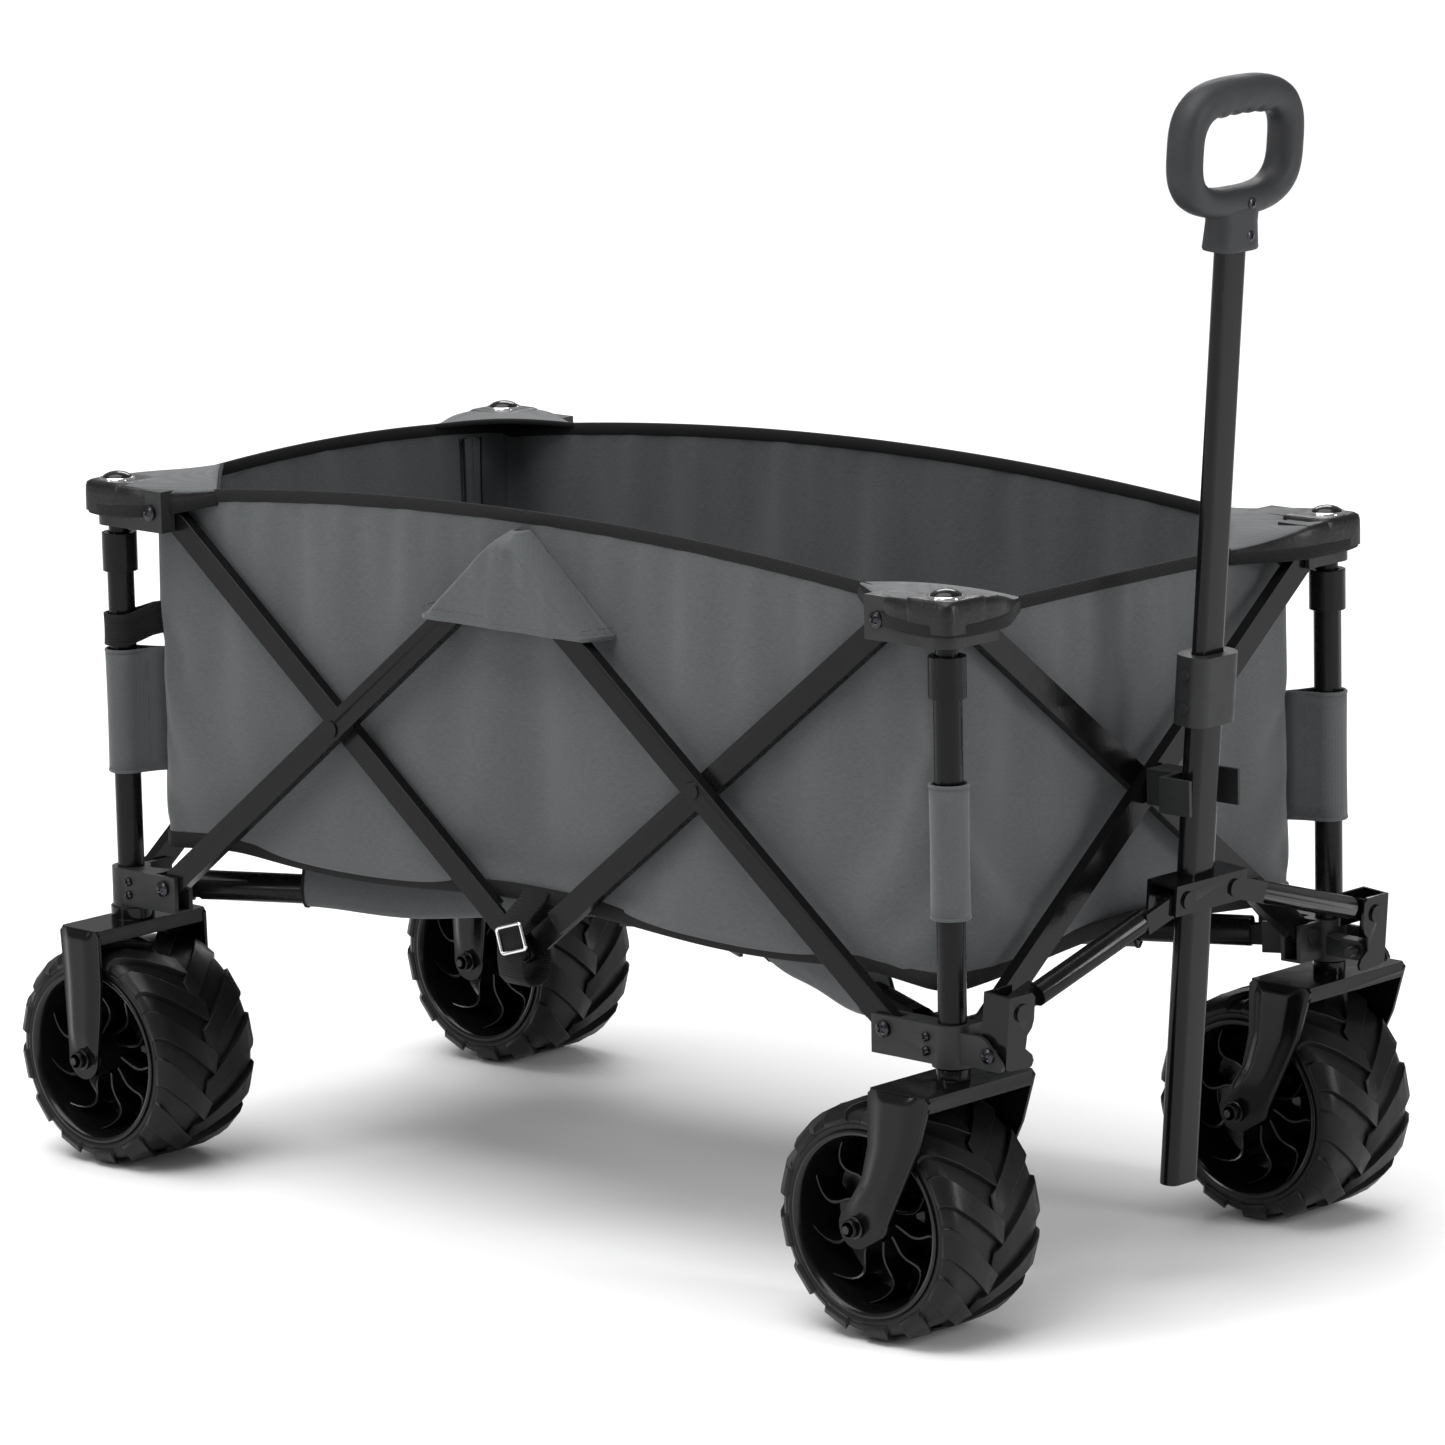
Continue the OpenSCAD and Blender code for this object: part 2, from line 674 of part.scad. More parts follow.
color(TYRE) corner(-1, 1) tyre(0);  // rear_left_tyre
color(TYRE) corner(1, -1) tyre(caster_trail);  // front_right_tyre
color(TYRE) corner(1, 1) tyre(caster_trail);  // front_left_tyre
color(RIM) corner(-1, -1) rim(0);  // rear_right_rim
color(RIM) corner(-1, 1) rim(0);  // rear_left_rim
color(RIM) corner(1, -1) rim(caster_trail);  // front_right_rim
color(RIM) corner(1, 1) rim(caster_trail);  // front_left_rim
color(PLASTIC) clip();  // handle_clip
color(STEEL) handle_frame() latch();  // right_latch
color(STEEL) handle_frame() left_side() latch();  // left_latch
color(STEEL) handle_frame() yoke_arm(true);  // right_yoke_arm
color(STEEL) handle_frame() left_side() yoke_arm(false);  // left_yoke_arm
color(STEEL) handle_frame() yoke_channel();  // yoke_bracket
color(STEEL) handle_frame() outer_tube();  // handle_outer_tube
color(PLASTIC) handle_frame() collar();  // clamp_collar
color(STEEL) handle_frame() inner_tube();  // handle_inner_tube
color(PLASTIC) handle_frame() grip_loop();  // grip
color(CLOTH) tub();  // bag
color(CLOTH) mat();  // floor_mat
color(CLOTH) for (fx = [-1, 1], fy = [-1, 1]) corner(fx, fy) post_sleeve();  // post_sleeves
color(TAPE) for (s = [-1, 1]) joint_strap(s);  // joint_straps
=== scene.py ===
import json
import math

import bmesh
import bpy
import numpy as np
from mathutils import Matrix, Vector

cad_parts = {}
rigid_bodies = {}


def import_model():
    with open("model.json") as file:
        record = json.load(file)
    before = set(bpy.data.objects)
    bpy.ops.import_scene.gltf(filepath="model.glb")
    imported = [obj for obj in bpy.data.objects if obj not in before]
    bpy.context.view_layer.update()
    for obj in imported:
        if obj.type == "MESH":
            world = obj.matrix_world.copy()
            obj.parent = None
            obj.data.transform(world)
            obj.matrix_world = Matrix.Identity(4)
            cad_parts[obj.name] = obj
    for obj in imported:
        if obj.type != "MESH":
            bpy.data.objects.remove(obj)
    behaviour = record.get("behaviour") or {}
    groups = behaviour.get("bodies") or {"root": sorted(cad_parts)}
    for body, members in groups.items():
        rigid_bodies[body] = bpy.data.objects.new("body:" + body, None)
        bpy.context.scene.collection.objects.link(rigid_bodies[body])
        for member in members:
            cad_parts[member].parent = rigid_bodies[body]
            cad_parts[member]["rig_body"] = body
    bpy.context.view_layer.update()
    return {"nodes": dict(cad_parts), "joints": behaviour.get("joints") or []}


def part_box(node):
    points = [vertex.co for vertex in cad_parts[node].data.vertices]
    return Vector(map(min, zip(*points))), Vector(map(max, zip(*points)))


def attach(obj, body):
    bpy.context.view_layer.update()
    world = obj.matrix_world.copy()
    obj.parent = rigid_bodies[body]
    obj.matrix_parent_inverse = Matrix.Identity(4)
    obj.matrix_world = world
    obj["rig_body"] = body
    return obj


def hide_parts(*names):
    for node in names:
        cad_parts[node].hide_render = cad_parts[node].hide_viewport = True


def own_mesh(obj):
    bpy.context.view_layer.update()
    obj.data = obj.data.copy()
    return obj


# The looks of a folding utility wagon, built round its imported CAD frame. Lengths are in
# metres, +X is the front, and the right side is -Y. A corner's own directions a and b point
# from its post into the wagon, a along the side and b along the end.

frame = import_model()
scene = bpy.context.scene

MM = 0.001
UP = Vector((0, 0, 1))
CORNERS = {"rear_right": (-1, -1), "rear_left": (-1, 1), "front_right": (1, -1), "front_left": (1, 1)}


def middle(node):
    low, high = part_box(node)
    return (low + high) / 2


POSTS = {corner: middle(corner + "_post").to_2d() for corner in CORNERS}
MID_X = (POSTS["front_right"].x + POSTS["rear_right"].x) / 2
HALF_X = (POSTS["front_right"].x - POSTS["rear_right"].x) / 2
HALF_Y = POSTS["rear_left"].y
LOW_BODY = {c: "chassis" if c == "rear_right" else c + "_corner" for c in CORNERS}

JOINT_Z = {j["name"]: j["pos_m"][2] for j in frame["joints"] if "pos_m" in j}
LINK_LOW = JOINT_Z["fold"]
LINK_HIGH = JOINT_Z["rear_right_cap_pivot"]

BAG_INSET = 17 * MM     # from the plane of the posts to the outside of the bag's walls
BAG_X = HALF_X - BAG_INSET
BAG_Y = HALF_Y - BAG_INSET
BAG_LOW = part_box("bag")[0].z + 1 * MM
WHEEL_R = middle("rear_right_tyre").z
LEG_OUT = 61 * MM       # outer face of a fork's leg, from the middle of its wheel
CAP_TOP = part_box("rear_right_cap")[1].z - 8.6 * MM      # top of an upper bracket, under its stud
SLEEVE_LOW, SLEEVE_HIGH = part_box("post_sleeves")[0].z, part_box("post_sleeves")[1].z
ARM_Z = JOINT_Z["rear_right_arm_pivot"]
SWING_Z = JOINT_Z["handle_swing"]


def at_corner(corner, a, b, z):
    fx, fy = CORNERS[corner]
    return Vector((POSTS[corner].x - fx * a, POSTS[corner].y - fy * b, z))


# ---- mesh helpers ----

class Shape:
    """Collects lofted shells, and makes one piece of them."""

    def __init__(self):
        self.points = []
        self.faces = []

    def loft(self, rings, ring_closed=True, path_closed=False, capped=True):
        start, count = len(self.points), len(rings[0])
        for ring in rings:
            self.points += [Vector(p) for p in ring]
        steps = len(rings) if path_closed else len(rings) - 1
        for i in range(steps):
            j = (i + 1) % len(rings)
            for k in range(count if ring_closed else count - 1):
                m = (k + 1) % count
                self.faces.append([start + i * count + k, start + j * count + k,
                                   start + j * count + m, start + i * count + m])
        if capped and ring_closed and not path_closed:
            self.faces.append([start + k for k in range(count)])
            self.faces.append([start + (len(rings) - 1) * count + k for k in reversed(range(count))])

    def sweep(self, path, section, up=UP, closed=False):
        """Carries a closed section, (side, up) pairs, along a path. up is one vector or one a point."""
        rings = []
        for i, point in enumerate(path):
            ahead = path[(i + 1) % len(path)] if closed else path[min(i + 1, len(path) - 1)]
            behind = path[i - 1] if closed else path[max(i - 1, 0)]
            along = (ahead - behind).normalized()
            rough_up = up[i] if isinstance(up, list) else up
            side = along.cross(rough_up).normalized()
            true_up = side.cross(along)
            rings.append([point + side * s + true_up * u for s, u in section])
        self.loft(rings, path_closed=closed)

    def lathe(self, profile, centre, axis, steps=64):
        """Turns (radius, distance along axis) pairs into a ring round centre."""
        axis = Vector(axis)
        first = axis.orthogonal().normalized()
        second = axis.cross(first)
        rings = []
        for i in range(steps):
            angle = 2 * math.pi * i / steps
            out = first * math.cos(angle) + second * math.sin(angle)
            rings.append([centre + out * r + axis * d for r, d in profile])
        self.loft(rings, path_closed=True)

    def move(self, change):
        self.points = [change @ p for p in self.points]

    def make(self, name, material, body, sharp=35, bevel=0.0, segments=2):
        mesh = bpy.data.meshes.new(name)
        mesh.from_pydata([tuple(p) for p in self.points], [], self.faces)
        work = bmesh.new()
        work.from_mesh(mesh)
        bmesh.ops.recalc_face_normals(work, faces=work.faces)
        work.to_mesh(mesh)
        work.free()
        return finish_piece(name, mesh, material, body, sharp, bevel, segments)


def finish_piece(name, mesh, material, body, sharp=35, bevel=0.0, segments=2):
    mesh.polygons.foreach_set("use_smooth", [True] * len(mesh.polygons))
    mesh.set_sharp_from_angle(angle=math.radians(sharp))
    mesh.materials.clear()
    mesh.materials.append(material)
    piece = bpy.data.objects.new(name, mesh)
    scene.collection.objects.link(piece)
    if bevel:
        rounding = piece.modifiers.new("rounding", "BEVEL")
        rounding.width = bevel
        rounding.segments = segments
        rounding.limit_method = "ANGLE"
        rounding.angle_limit = math.radians(sharp)
        rounding.harden_normals = True
    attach(piece, body)
    return piece


def ring_of(count, radius):
    turns = [2 * math.pi * i / count for i in range(count)]
    return [(radius * math.cos(t), radius * math.sin(t)) for t in turns]


def flat_section(width, thick):
    """A flat strip's section, thick across its side and width up, with rounded corners."""
    w, t, r = width / 2, thick / 2, min(thick, width) * 0.3
    return [(t - r, -w), (t, r - w), (t, w - r), (t - r, w),
            (r - t, w), (-t, w - r), (-t, r - w), (r - t, -w)]


def smooth(x, low, high):
    t = min(max((x - low) / (high - low), 0.0), 1.0)
    return t * t * (3 - 2 * t)


# ---- materials ----

class Finish:
    """A Principled material with procedural colour, roughness and bump."""

    def __init__(self, name, colour, roughness, sockets=None):
        self.material = bpy.data.materials.new(name)
        self.material.use_nodes = True
        self.nodes = self.material.node_tree.nodes
        self.links = self.material.node_tree.links
        self.shader = self.nodes["Principled BSDF"]
        self.shader.inputs["Base Color"].default_value = (*colour, 1)
        self.shader.inputs["Roughness"].default_value = roughness
        for socket, value in (sockets or {}).items():
            self.shader.inputs[socket].default_value = value
        self.place = self.nodes.new("ShaderNodeTexCoord").outputs["Object"]
        self.colour = colour
        self.heights = []

    def math(self, kind, a, b):
        node = self.nodes.new("ShaderNodeMath")
        node.operation = kind
        for socket, value in zip(node.inputs, (a, b)):
            if isinstance(value, (int, float)):
                socket.default_value = value
            else:
                self.links.new(value, socket)
        return node.outputs[0]

    def noise(self, scale, detail=2.0, stretch=(1, 1, 1)):
        mapping = self.nodes.new("ShaderNodeMapping")
        mapping.inputs["Scale"].default_value = stretch
        self.links.new(self.place, mapping.inputs["Vector"])
        node = self.nodes.new("ShaderNodeTexNoise")
        node.inputs["Scale"].default_value = scale
        node.inputs["Detail"].default_value = detail
        self.links.new(mapping.outputs[0], node.inputs["Vector"])
        return node.outputs["Fac"]

    def bands(self, direction, period, warp=0.0):
        """Threads or ribs that follow one another along an axis, period metres apart."""
        node = self.nodes.new("ShaderNodeTexWave")
        node.bands_direction = direction
        node.wave_profile = "SIN"
        node.inputs["Scale"].default_value = 2 * math.pi / (20 * period)
        node.inputs["Distortion"].default_value = warp
        node.inputs["Detail Scale"].default_value = 2.0
        self.links.new(self.place, node.inputs["Vector"])
        return node.outputs["Fac"]

    def spread(self, value, low, high):
        node = self.nodes.new("ShaderNodeMapRange")
        node.inputs["From Min"].default_value = 0.3
        node.inputs["From Max"].default_value = 0.7
        node.inputs["To Min"].default_value = low
        node.inputs["To Max"].default_value = high
        self.links.new(value, node.inputs["Value"])
        return node.outputs[0]

    def vary_colour(self, *values):
        """Multiplies the colour by each of the values."""
        factor = values[0]
        for value in values[1:]:
            factor = self.math("MULTIPLY", factor, value)
        mix = self.nodes.new("ShaderNodeVectorMath")
        mix.operation = "SCALE"
        mix.inputs[0].default_value = self.colour
        self.links.new(factor, mix.inputs["Scale"])
        self.links.new(mix.outputs[0], self.shader.inputs["Base Color"])
        return self

    def vary_roughness(self, value, low, high):
        self.links.new(self.spread(value, low, high), self.shader.inputs["Roughness"])
        return self

    def bump(self, height, depth, strength):
        node = self.nodes.new("ShaderNodeBump")
        node.inputs["Distance"].default_value = depth
        node.inputs["Strength"].default_value = strength
        self.links.new(height, node.inputs["Height"])
        if self.heights:
            self.links.new(self.heights[-1], node.inputs["Normal"])
        self.heights.append(node.outputs[0])
        self.links.new(node.outputs[0], self.shader.inputs["Normal"])
        return self

    def painted_edge_highlight(self, amount):
        """Painted highlight: the colour is lighter along raised edges, standing in for the light they catch.
        """
        geometry = self.nodes.new("ShaderNodeNewGeometry")
        node = self.nodes.new("ShaderNodeMapRange")
        node.inputs["From Min"].default_value = 0.5
        node.inputs["From Max"].default_value = 0.62
        node.inputs["To Min"].default_value = 1.0
        node.inputs["To Max"].default_value = 1.0 + amount
        self.links.new(geometry.outputs["Pointiness"], node.inputs["Value"])
        return node.outputs[0]


def powder_coat(name, colour, roughness, shine=0.15):
    finish = Finish(name, colour, roughness, {"Specular IOR Level": shine})
    peel = finish.noise(420, 3)
    cloud = finish.noise(14, 2)
    # the second factor is a painted highlight, lighter along raised edges
    finish.vary_colour(finish.spread(cloud, 0.88, 1.12), finish.painted_edge_highlight(0.5))
    finish.vary_roughness(finish.noise(60, 4), roughness - 0.05, roughness + 0.07)
    return finish.bump(peel, 0.25 * MM, 0.25).material


def moulded(name, colour, roughness, grain=1400, depth=0.2 * MM, shine=0.3):
    finish = Finish(name, colour, roughness, {"Specular IOR Level": shine})
    # the second factor is a painted highlight, lighter along raised edges
    finish.vary_colour(finish.spread(finish.noise(30, 3), 0.9, 1.1), finish.painted_edge_highlight(0.35))
    finish.vary_roughness(finish.noise(90, 3), roughness - 0.05, roughness + 0.06)
    return finish.bump(finish.noise(grain, 3), depth, 0.5).material


def woven(name, colour, directions, thread=0.9 * MM, sheen=0.25):
    """Plain-weave polyester. directions are the axes that its threads follow one another along."""
    finish = Finish(name, colour, 0.82, {"Sheen Weight": sheen, "Sheen Roughness": 0.45})
    warp = finish.bands(directions[0], thread, 1.2)
    weft = finish.bands(directions[1], thread, 1.2)
    weave = finish.math("MULTIPLY", warp, weft)
    stretch = [1.0, 1.0, 1.0]
    stretch["XYZ".index(directions[0])] = 0.22
    slub = finish.noise(900, 2, stretch)
    fade = finish.noise(5, 3)
    finish.vary_colour(finish.spread(slub, 0.86, 1.14), finish.spread(fade, 0.93, 1.07),
                       finish.spread(weave, 0.93, 1.05))
    finish.bump(finish.noise(22, 3), 1.6 * MM, 0.35)
    return finish.bump(weave, 0.35 * MM, 0.5).material


def ribbed(name, colour, period, direction="DIAGONAL"):
    finish = Finish(name, colour, 0.78, {"Sheen Weight": 0.05, "Specular IOR Level": 0.2})
    ribs = finish.bands(direction, period, 0.4)
    finish.vary_colour(finish.spread(finish.noise(500, 2), 0.75, 1.25), finish.spread(ribs, 0.8, 1.2))
    return finish.bump(ribs, 0.5 * MM, 0.7).material


def metal(name, colour, roughness):
    finish = Finish(name, colour, roughness, {"Metallic": 1.0})
    finish.vary_roughness(finish.noise(200, 3), roughness * 0.7, roughness * 1.3)
    return finish.bump(finish.noise(300, 2), 0.05 * MM, 0.2).material


STEEL = powder_coat("frame_steel", (0.0045, 0.0045, 0.0048), 0.24)
GLOSS_STEEL = powder_coat("handle_steel", (0.0035, 0.0035, 0.0037), 0.15, 0.2)
PLASTIC = moulded("bracket_plastic", (0.014, 0.0145, 0.015), 0.45)
GRIP = moulded("grip_plastic", (0.022, 0.023, 0.025), 0.5, 1800, 0.3 * MM)
RUBBER = moulded("tyre_rubber", (0.0055, 0.0055, 0.0058), 0.36, 500, 0.25 * MM, 0.2)
RIM = moulded("rim_plastic", (0.0035, 0.0035, 0.0037), 0.18, 700, 0.08 * MM, 0.3)
VINYL = moulded("corner_vinyl", (0.0055, 0.0055, 0.006), 0.36, 260, 0.8 * MM)
GREY = (0.064, 0.069, 0.073)
SIDE_CLOTH = woven("side_cloth", GREY, "XZ")
END_CLOTH = woven("end_cloth", GREY, "YZ")
FLOOR_CLOTH = woven("floor_cloth", GREY, "XY")
TAPE = ribbed("twill_tape", (0.0055, 0.0055, 0.006), 1.5 * MM)
WEBBING = ribbed("webbing", (0.005, 0.005, 0.0054), 2.2 * MM, "Z")
THREAD = ribbed("thread", (0.075, 0.08, 0.083), 0.8 * MM)
CHROME = metal("chrome", (0.75, 0.75, 0.77), 0.12)
DARK_METAL = metal("screw_black", (0.045, 0.045, 0.05), 0.3)


# ---- hard parts from the frame ----

def refine(node, material, bevel, segments=2, suffix="_body", ceiling=None):
    """A cleaned copy of a CAD node with rounded edges, in the node's place, cut off at ceiling."""
    source = frame["nodes"][node]
    work = bmesh.new()
    work.from_mesh(source.data)
    bmesh.ops.remove_doubles(work, verts=work.verts, dist=0.01 * MM)
    bmesh.ops.dissolve_limit(work, angle_limit=math.radians(1), verts=work.verts, edges=work.edges)
    if ceiling:
        parts = work.verts[:] + work.edges[:] + work.faces[:]
        bmesh.ops.bisect_plane(work, geom=parts, plane_co=(0, 0, ceiling), plane_no=(0, 0, 1),
                               clear_outer=True)
        rims = [edge for edge in work.edges if edge.is_boundary]
        bmesh.ops.holes_fill(work, edges=rims)
    bmesh.ops.recalc_face_normals(work, faces=work.faces)
    mesh = bpy.data.meshes.new(node + suffix)
    work.to_mesh(mesh)
    work.free()
    piece = finish_piece(node + suffix, mesh, material, source["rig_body"], 35, bevel, segments)
    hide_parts(node)
    return piece


def swell_arm(corner, arm):
    """Gives an undercarriage arm its full tube, which bows up under the floor between its ends."""
    fx, fy = CORNERS[corner]
    along = Vector((-fx * HALF_X, -fy * HALF_Y, 0)).normalized()
    across = along.cross(UP)
    pivot = Vector((POSTS[corner].x, POSTS[corner].y, ARM_Z))
    for vertex in arm.data.vertices:
        offset = vertex.co - pivot
        side, rise = offset.dot(across), offset.z
        if abs(math.hypot(side, rise) - 9 * MM) < 0.25 * MM:
            vertex.co += across * side * 0.36 + UP * (rise * 0.36 + 2 * MM)


def refine_frame():
    for corner in CORNERS:
        refine(corner + "_bracket", PLASTIC, 0.7 * MM)
        refine(corner + "_cap", PLASTIC, 0.9 * MM, ceiling=CAP_TOP)
        refine(corner + "_post", STEEL, 0.6 * MM)
        refine(corner + "_inner_post", STEEL, 0.6 * MM)
        swell_arm(corner, refine(corner + "_arm", STEEL, 0.7 * MM))
    for side in ("right", "left"):
        for link in ("rear_riser", "rear_faller", "front_riser", "front_faller"):
            refine(side + "_" + link, STEEL, 1.3 * MM, 3)
        refine(side + "_latch", GLOSS_STEEL, 0.6 * MM)
        refine(side + "_yoke_arm", GLOSS_STEEL, 0.6 * MM)
    for end in ("rear", "front"):
        for link in ("riser", "faller"):
            refine(end + "_end_" + link, GLOSS_STEEL, 1.3 * MM, 3)
    refine("arm_hub", PLASTIC, 0.8 * MM)
    refine("handle_clip", PLASTIC, 0.6 * MM)
    refine("yoke_bracket", GLOSS_STEEL, 0.6 * MM)
    refine("handle_outer_tube", GLOSS_STEEL, 0.3 * MM)
    refine("handle_inner_tube", GLOSS_STEEL, 0.3 * MM)
    refine("clamp_collar", PLASTIC, 1.6 * MM, 3)


def screw_head(shape, centre, axis, radius=6.4 * MM, height=4.2 * MM):
    """Pan head with a cross recess, standing on the surface that axis points away from."""
    axis = Vector(axis).normalized()
    first = axis.orthogonal().normalized()
    second = axis.cross(first)
    steps = 32
    shares = [0.05, 0.18, 0.3, 0.4, 0.5, 0.62, 0.8, 0.94, 1.0]
    rings = []
    for share in shares:
        ring = []
        for i in range(steps):
            angle = 2 * math.pi * i / steps
            x, y = share * math.cos(angle), share * math.sin(angle)
            dome = height * (1 - 0.42 * share ** 3)
            in_cross = min(abs(x), abs(y)) < 0.13 and share < 0.55
            dome -= 1.3 * MM if in_cross else 0
            ring.append(centre + (first * x + second * y) * radius + axis * dome)
        rings.append(ring)
    rings.append([centre + (p - centre) - axis * (p - centre).dot(axis) for p in rings[-1]])
    shape.loft(rings)


def pivot_points(corner):
    """Place and outward axis of each screw on a corner's lower and upper bracket."""
    fx, fy = CORNERS[corner]
    out_side, out_end = Vector((0, fy, 0)), Vector((fx, 0, 0))
    side_x, end_y = 55 * MM, 27.5 * MM
    cheek = 15.5 * MM
    upper = [(at_corner(corner, side_x, -cheek, LINK_HIGH), out_side),
             (at_corner(corner, -cheek, end_y, LINK_HIGH), out_end)]
    lower = [(at_corner(corner, side_x, -cheek, LINK_LOW), out_side)]
    if fy < 0:
        lower.append((at_corner(corner, -cheek, end_y, LINK_LOW), out_end))
    return lower, upper


def add_screws():
    for corner in CORNERS:
        lower, upper = pivot_points(corner)
        shape = Shape()
        for place, axis in lower:
            screw_head(shape, place, axis)
        fy = CORNERS[corner][1]
        for z in (225 * MM, 236 * MM):
            screw_head(shape, at_corner(corner, 13 * MM, -15.5 * MM, z), (0, fy, 0), 3.6 * MM, 2.8 * MM)
        if corner.startswith("front"):
            screw_head(shape, at_corner(corner, -42 * MM, -8 * MM, SWING_Z), (0, fy, 0), 6 * MM, 3.6 * MM)
        shape.make(corner + "_low_screws", DARK_METAL, LOW_BODY[corner])
        shape = Shape()
        for place, axis in upper:
            screw_head(shape, place, axis)
        fx = CORNERS[corner][0]
        screw_head(shape, at_corner(corner, 0, -15.9 * MM, 546 * MM), (0, fy, 0), 4 * MM, 2.2 * MM)
        screw_head(shape, at_corner(corner, -15.9 * MM, 0, 546 * MM), (fx, 0, 0), 4 * MM, 2.2 * MM)
        shape.make(corner + "_top_screws", DARK_METAL, corner + "_cap")


# ---- forks and wheels ----

def leg_edges(corner, z):
    """Back and front edge of a fork's leg at a height, along the wagon from its post inwards."""
    if corner.startswith("rear"):
        back = [(203, 23), (158, 24), (131, 22), (93, 17), (76, 9)]
        front = [(203, -23), (161, -20), (110, -18), (93, -17), (76, -9)]
    else:
        back = [(203, 32), (158, 33), (131, 40), (110, 56), (93, 63), (76, 52)]
        front = [(203, -29), (161, -17), (110, 10), (99, 14), (87, 22), (76, 40)]
    edges = []
    for line in (back, front):
        for (z0, x0), (z1, x1) in zip(line[:-1], line[1:]):
            if z0 >= z / MM >= z1 - 0.001:
                edges.append((x0 + (x1 - x0) * (z0 - z / MM) / (z0 - z1)) * MM)
                break
    return edges


def fork_cover(shape, corner, y_face, out):
    """Pressed face of a fork leg: a smooth swelling along its middle that fades at its edges."""
    inwards = -CORNERS[corner][0]
    rings = []
    for i in range(25):
        v = i / 24
        z = (202 - 117 * v) * MM
        back, front = leg_edges(corner, z)
        swell = 3.6 * MM * smooth(v, -0.03, 0.05) * (1 - smooth(v, 0.7, 0.95))
        points = []
        for j in range(15):
            u = j / 14
            x = front + (back - front) * (0.05 + 0.9 * u)
            lift = swell * smooth(min(u, 1 - u), 0.0, 0.3)
            points.append(Vector((POSTS[corner].x + inwards * x, y_face + out * (lift + 0.15 * MM), z)))
        points.append(Vector((points[-1].x, y_face - out * 0.8 * MM, z)))
        points.append(Vector((points[0].x, y_face - out * 0.8 * MM, z)))
        rings.append(points)
    shape.loft(rings)


# (radius, way out from the tip) along an axle's bolt end, its nut and its washer
AXLE_NUT = [(3.2, 2.6), (3.2, 0), (5.8, 0), (7.2, -1.2), (7.2, -6), (8.6, -6.4), (8.6, -9)]


def add_forks():
    for corner in CORNERS:
        node = corner + ("_caster_fork" if corner.startswith("front") else "_fork")
        refine(node, GLOSS_STEEL, 0.9 * MM)
        post = POSTS[corner]
        shape = Shape()
        for out in (-1, 1):
            fork_cover(shape, corner, post.y + out * LEG_OUT, out)
        shape.make(corner + "_fork_ribs", GLOSS_STEEL, frame["nodes"][node]["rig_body"], 50)
        bolts = Shape()
        axle = middle(corner + "_tyre")
        for out in (-1, 1):
            tip = LEG_OUT + 9.1 * MM
            start = Vector((axle.x, post.y + out * tip, axle.z))
            rings = []
            for radius, depth in AXLE_NUT:
                rings.append([start + Vector((x, out * depth * MM, z)) for x, z in ring_of(24, radius * MM)])
            bolts.loft(rings)
        bolts.make(corner + "_axle_nuts", DARK_METAL, frame["nodes"][node]["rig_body"], 40)


# LUG_PATH is (way out from the middle, radius of the top, radius of the base), CARCASS and
# RIM_HALF are half profiles.
LUGS = 13
LUG_PATH = [(-6, 90.8, 84), (-1, 92.9, 84), (12, 93, 84), (27, 92.9, 84), (39, 92.3, 83.5),
            (46, 90.4, 82), (50.6, 86.4, 80.5), (52.8, 81.4, 78.4), (52.2, 78.2, 77)]
CARCASS = [(0, 88.2), (22, 88), (39, 87.4), (45, 86.2), (49, 83.6), (51.2, 79.6), (50.8, 78), (51.6, 76.6),
           (51.3, 73.6), (49.6, 70.6)]


def add_tyre(corner):
    centre = middle(corner + "_tyre")
    shape = Shape()
    half = [(r * MM, y * MM) for y, r in CARCASS]
    profile = [(r, -y) for r, y in reversed(half)] + half[1:]
    shape.lathe(profile, centre, (0, 1, 0), 96)
    for side in (-1, 1):
        for k in range(LUGS):
            phase = 2 * math.pi * (k + (0.5 if side > 0 else 0)) / LUGS
            rings = []
            for y, top, base in LUG_PATH:
                reach = min(y, 50) * MM
                turn = phase + reach / (WHEEL_R * 1.15)
                wide = (20.5 + 5 * smooth(y, 18, 50)) * MM / WHEEL_R / 2
                ring = []
                for radius, angle in ((top, turn - wide), (top, turn + wide),
                                      (base, turn + wide * 1.22), (base, turn - wide * 1.22)):
                    inward = 0.0 if radius == top else min(1.5, max(0.0, (y - 38) * 0.2))
                    ring.append(centre + Vector((radius * MM * math.cos(angle), side * (y - inward) * MM,
                                                 radius * MM * math.sin(angle))))
                rings.append(ring)
            shape.loft(rings)
    piece = shape.make(corner + "_tread", RUBBER, corner + "_wheel", 30, 0.7 * MM)
    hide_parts(corner + "_tyre")


RIM_HALF = [(69.9, 0), (69.9, 46), (71.2, 49), (72.6, 51), (72.4, 52.6), (70.4, 53), (68.4, 52.2),
            (67, 50), (65.8, 46), (62, 20), (59, 13), (51, 9.5), (24, 9.5), (18, 13), (16.4, 48),
            (14.6, 56), (7, 57), (5.7, 0)]
SPOKES = 10


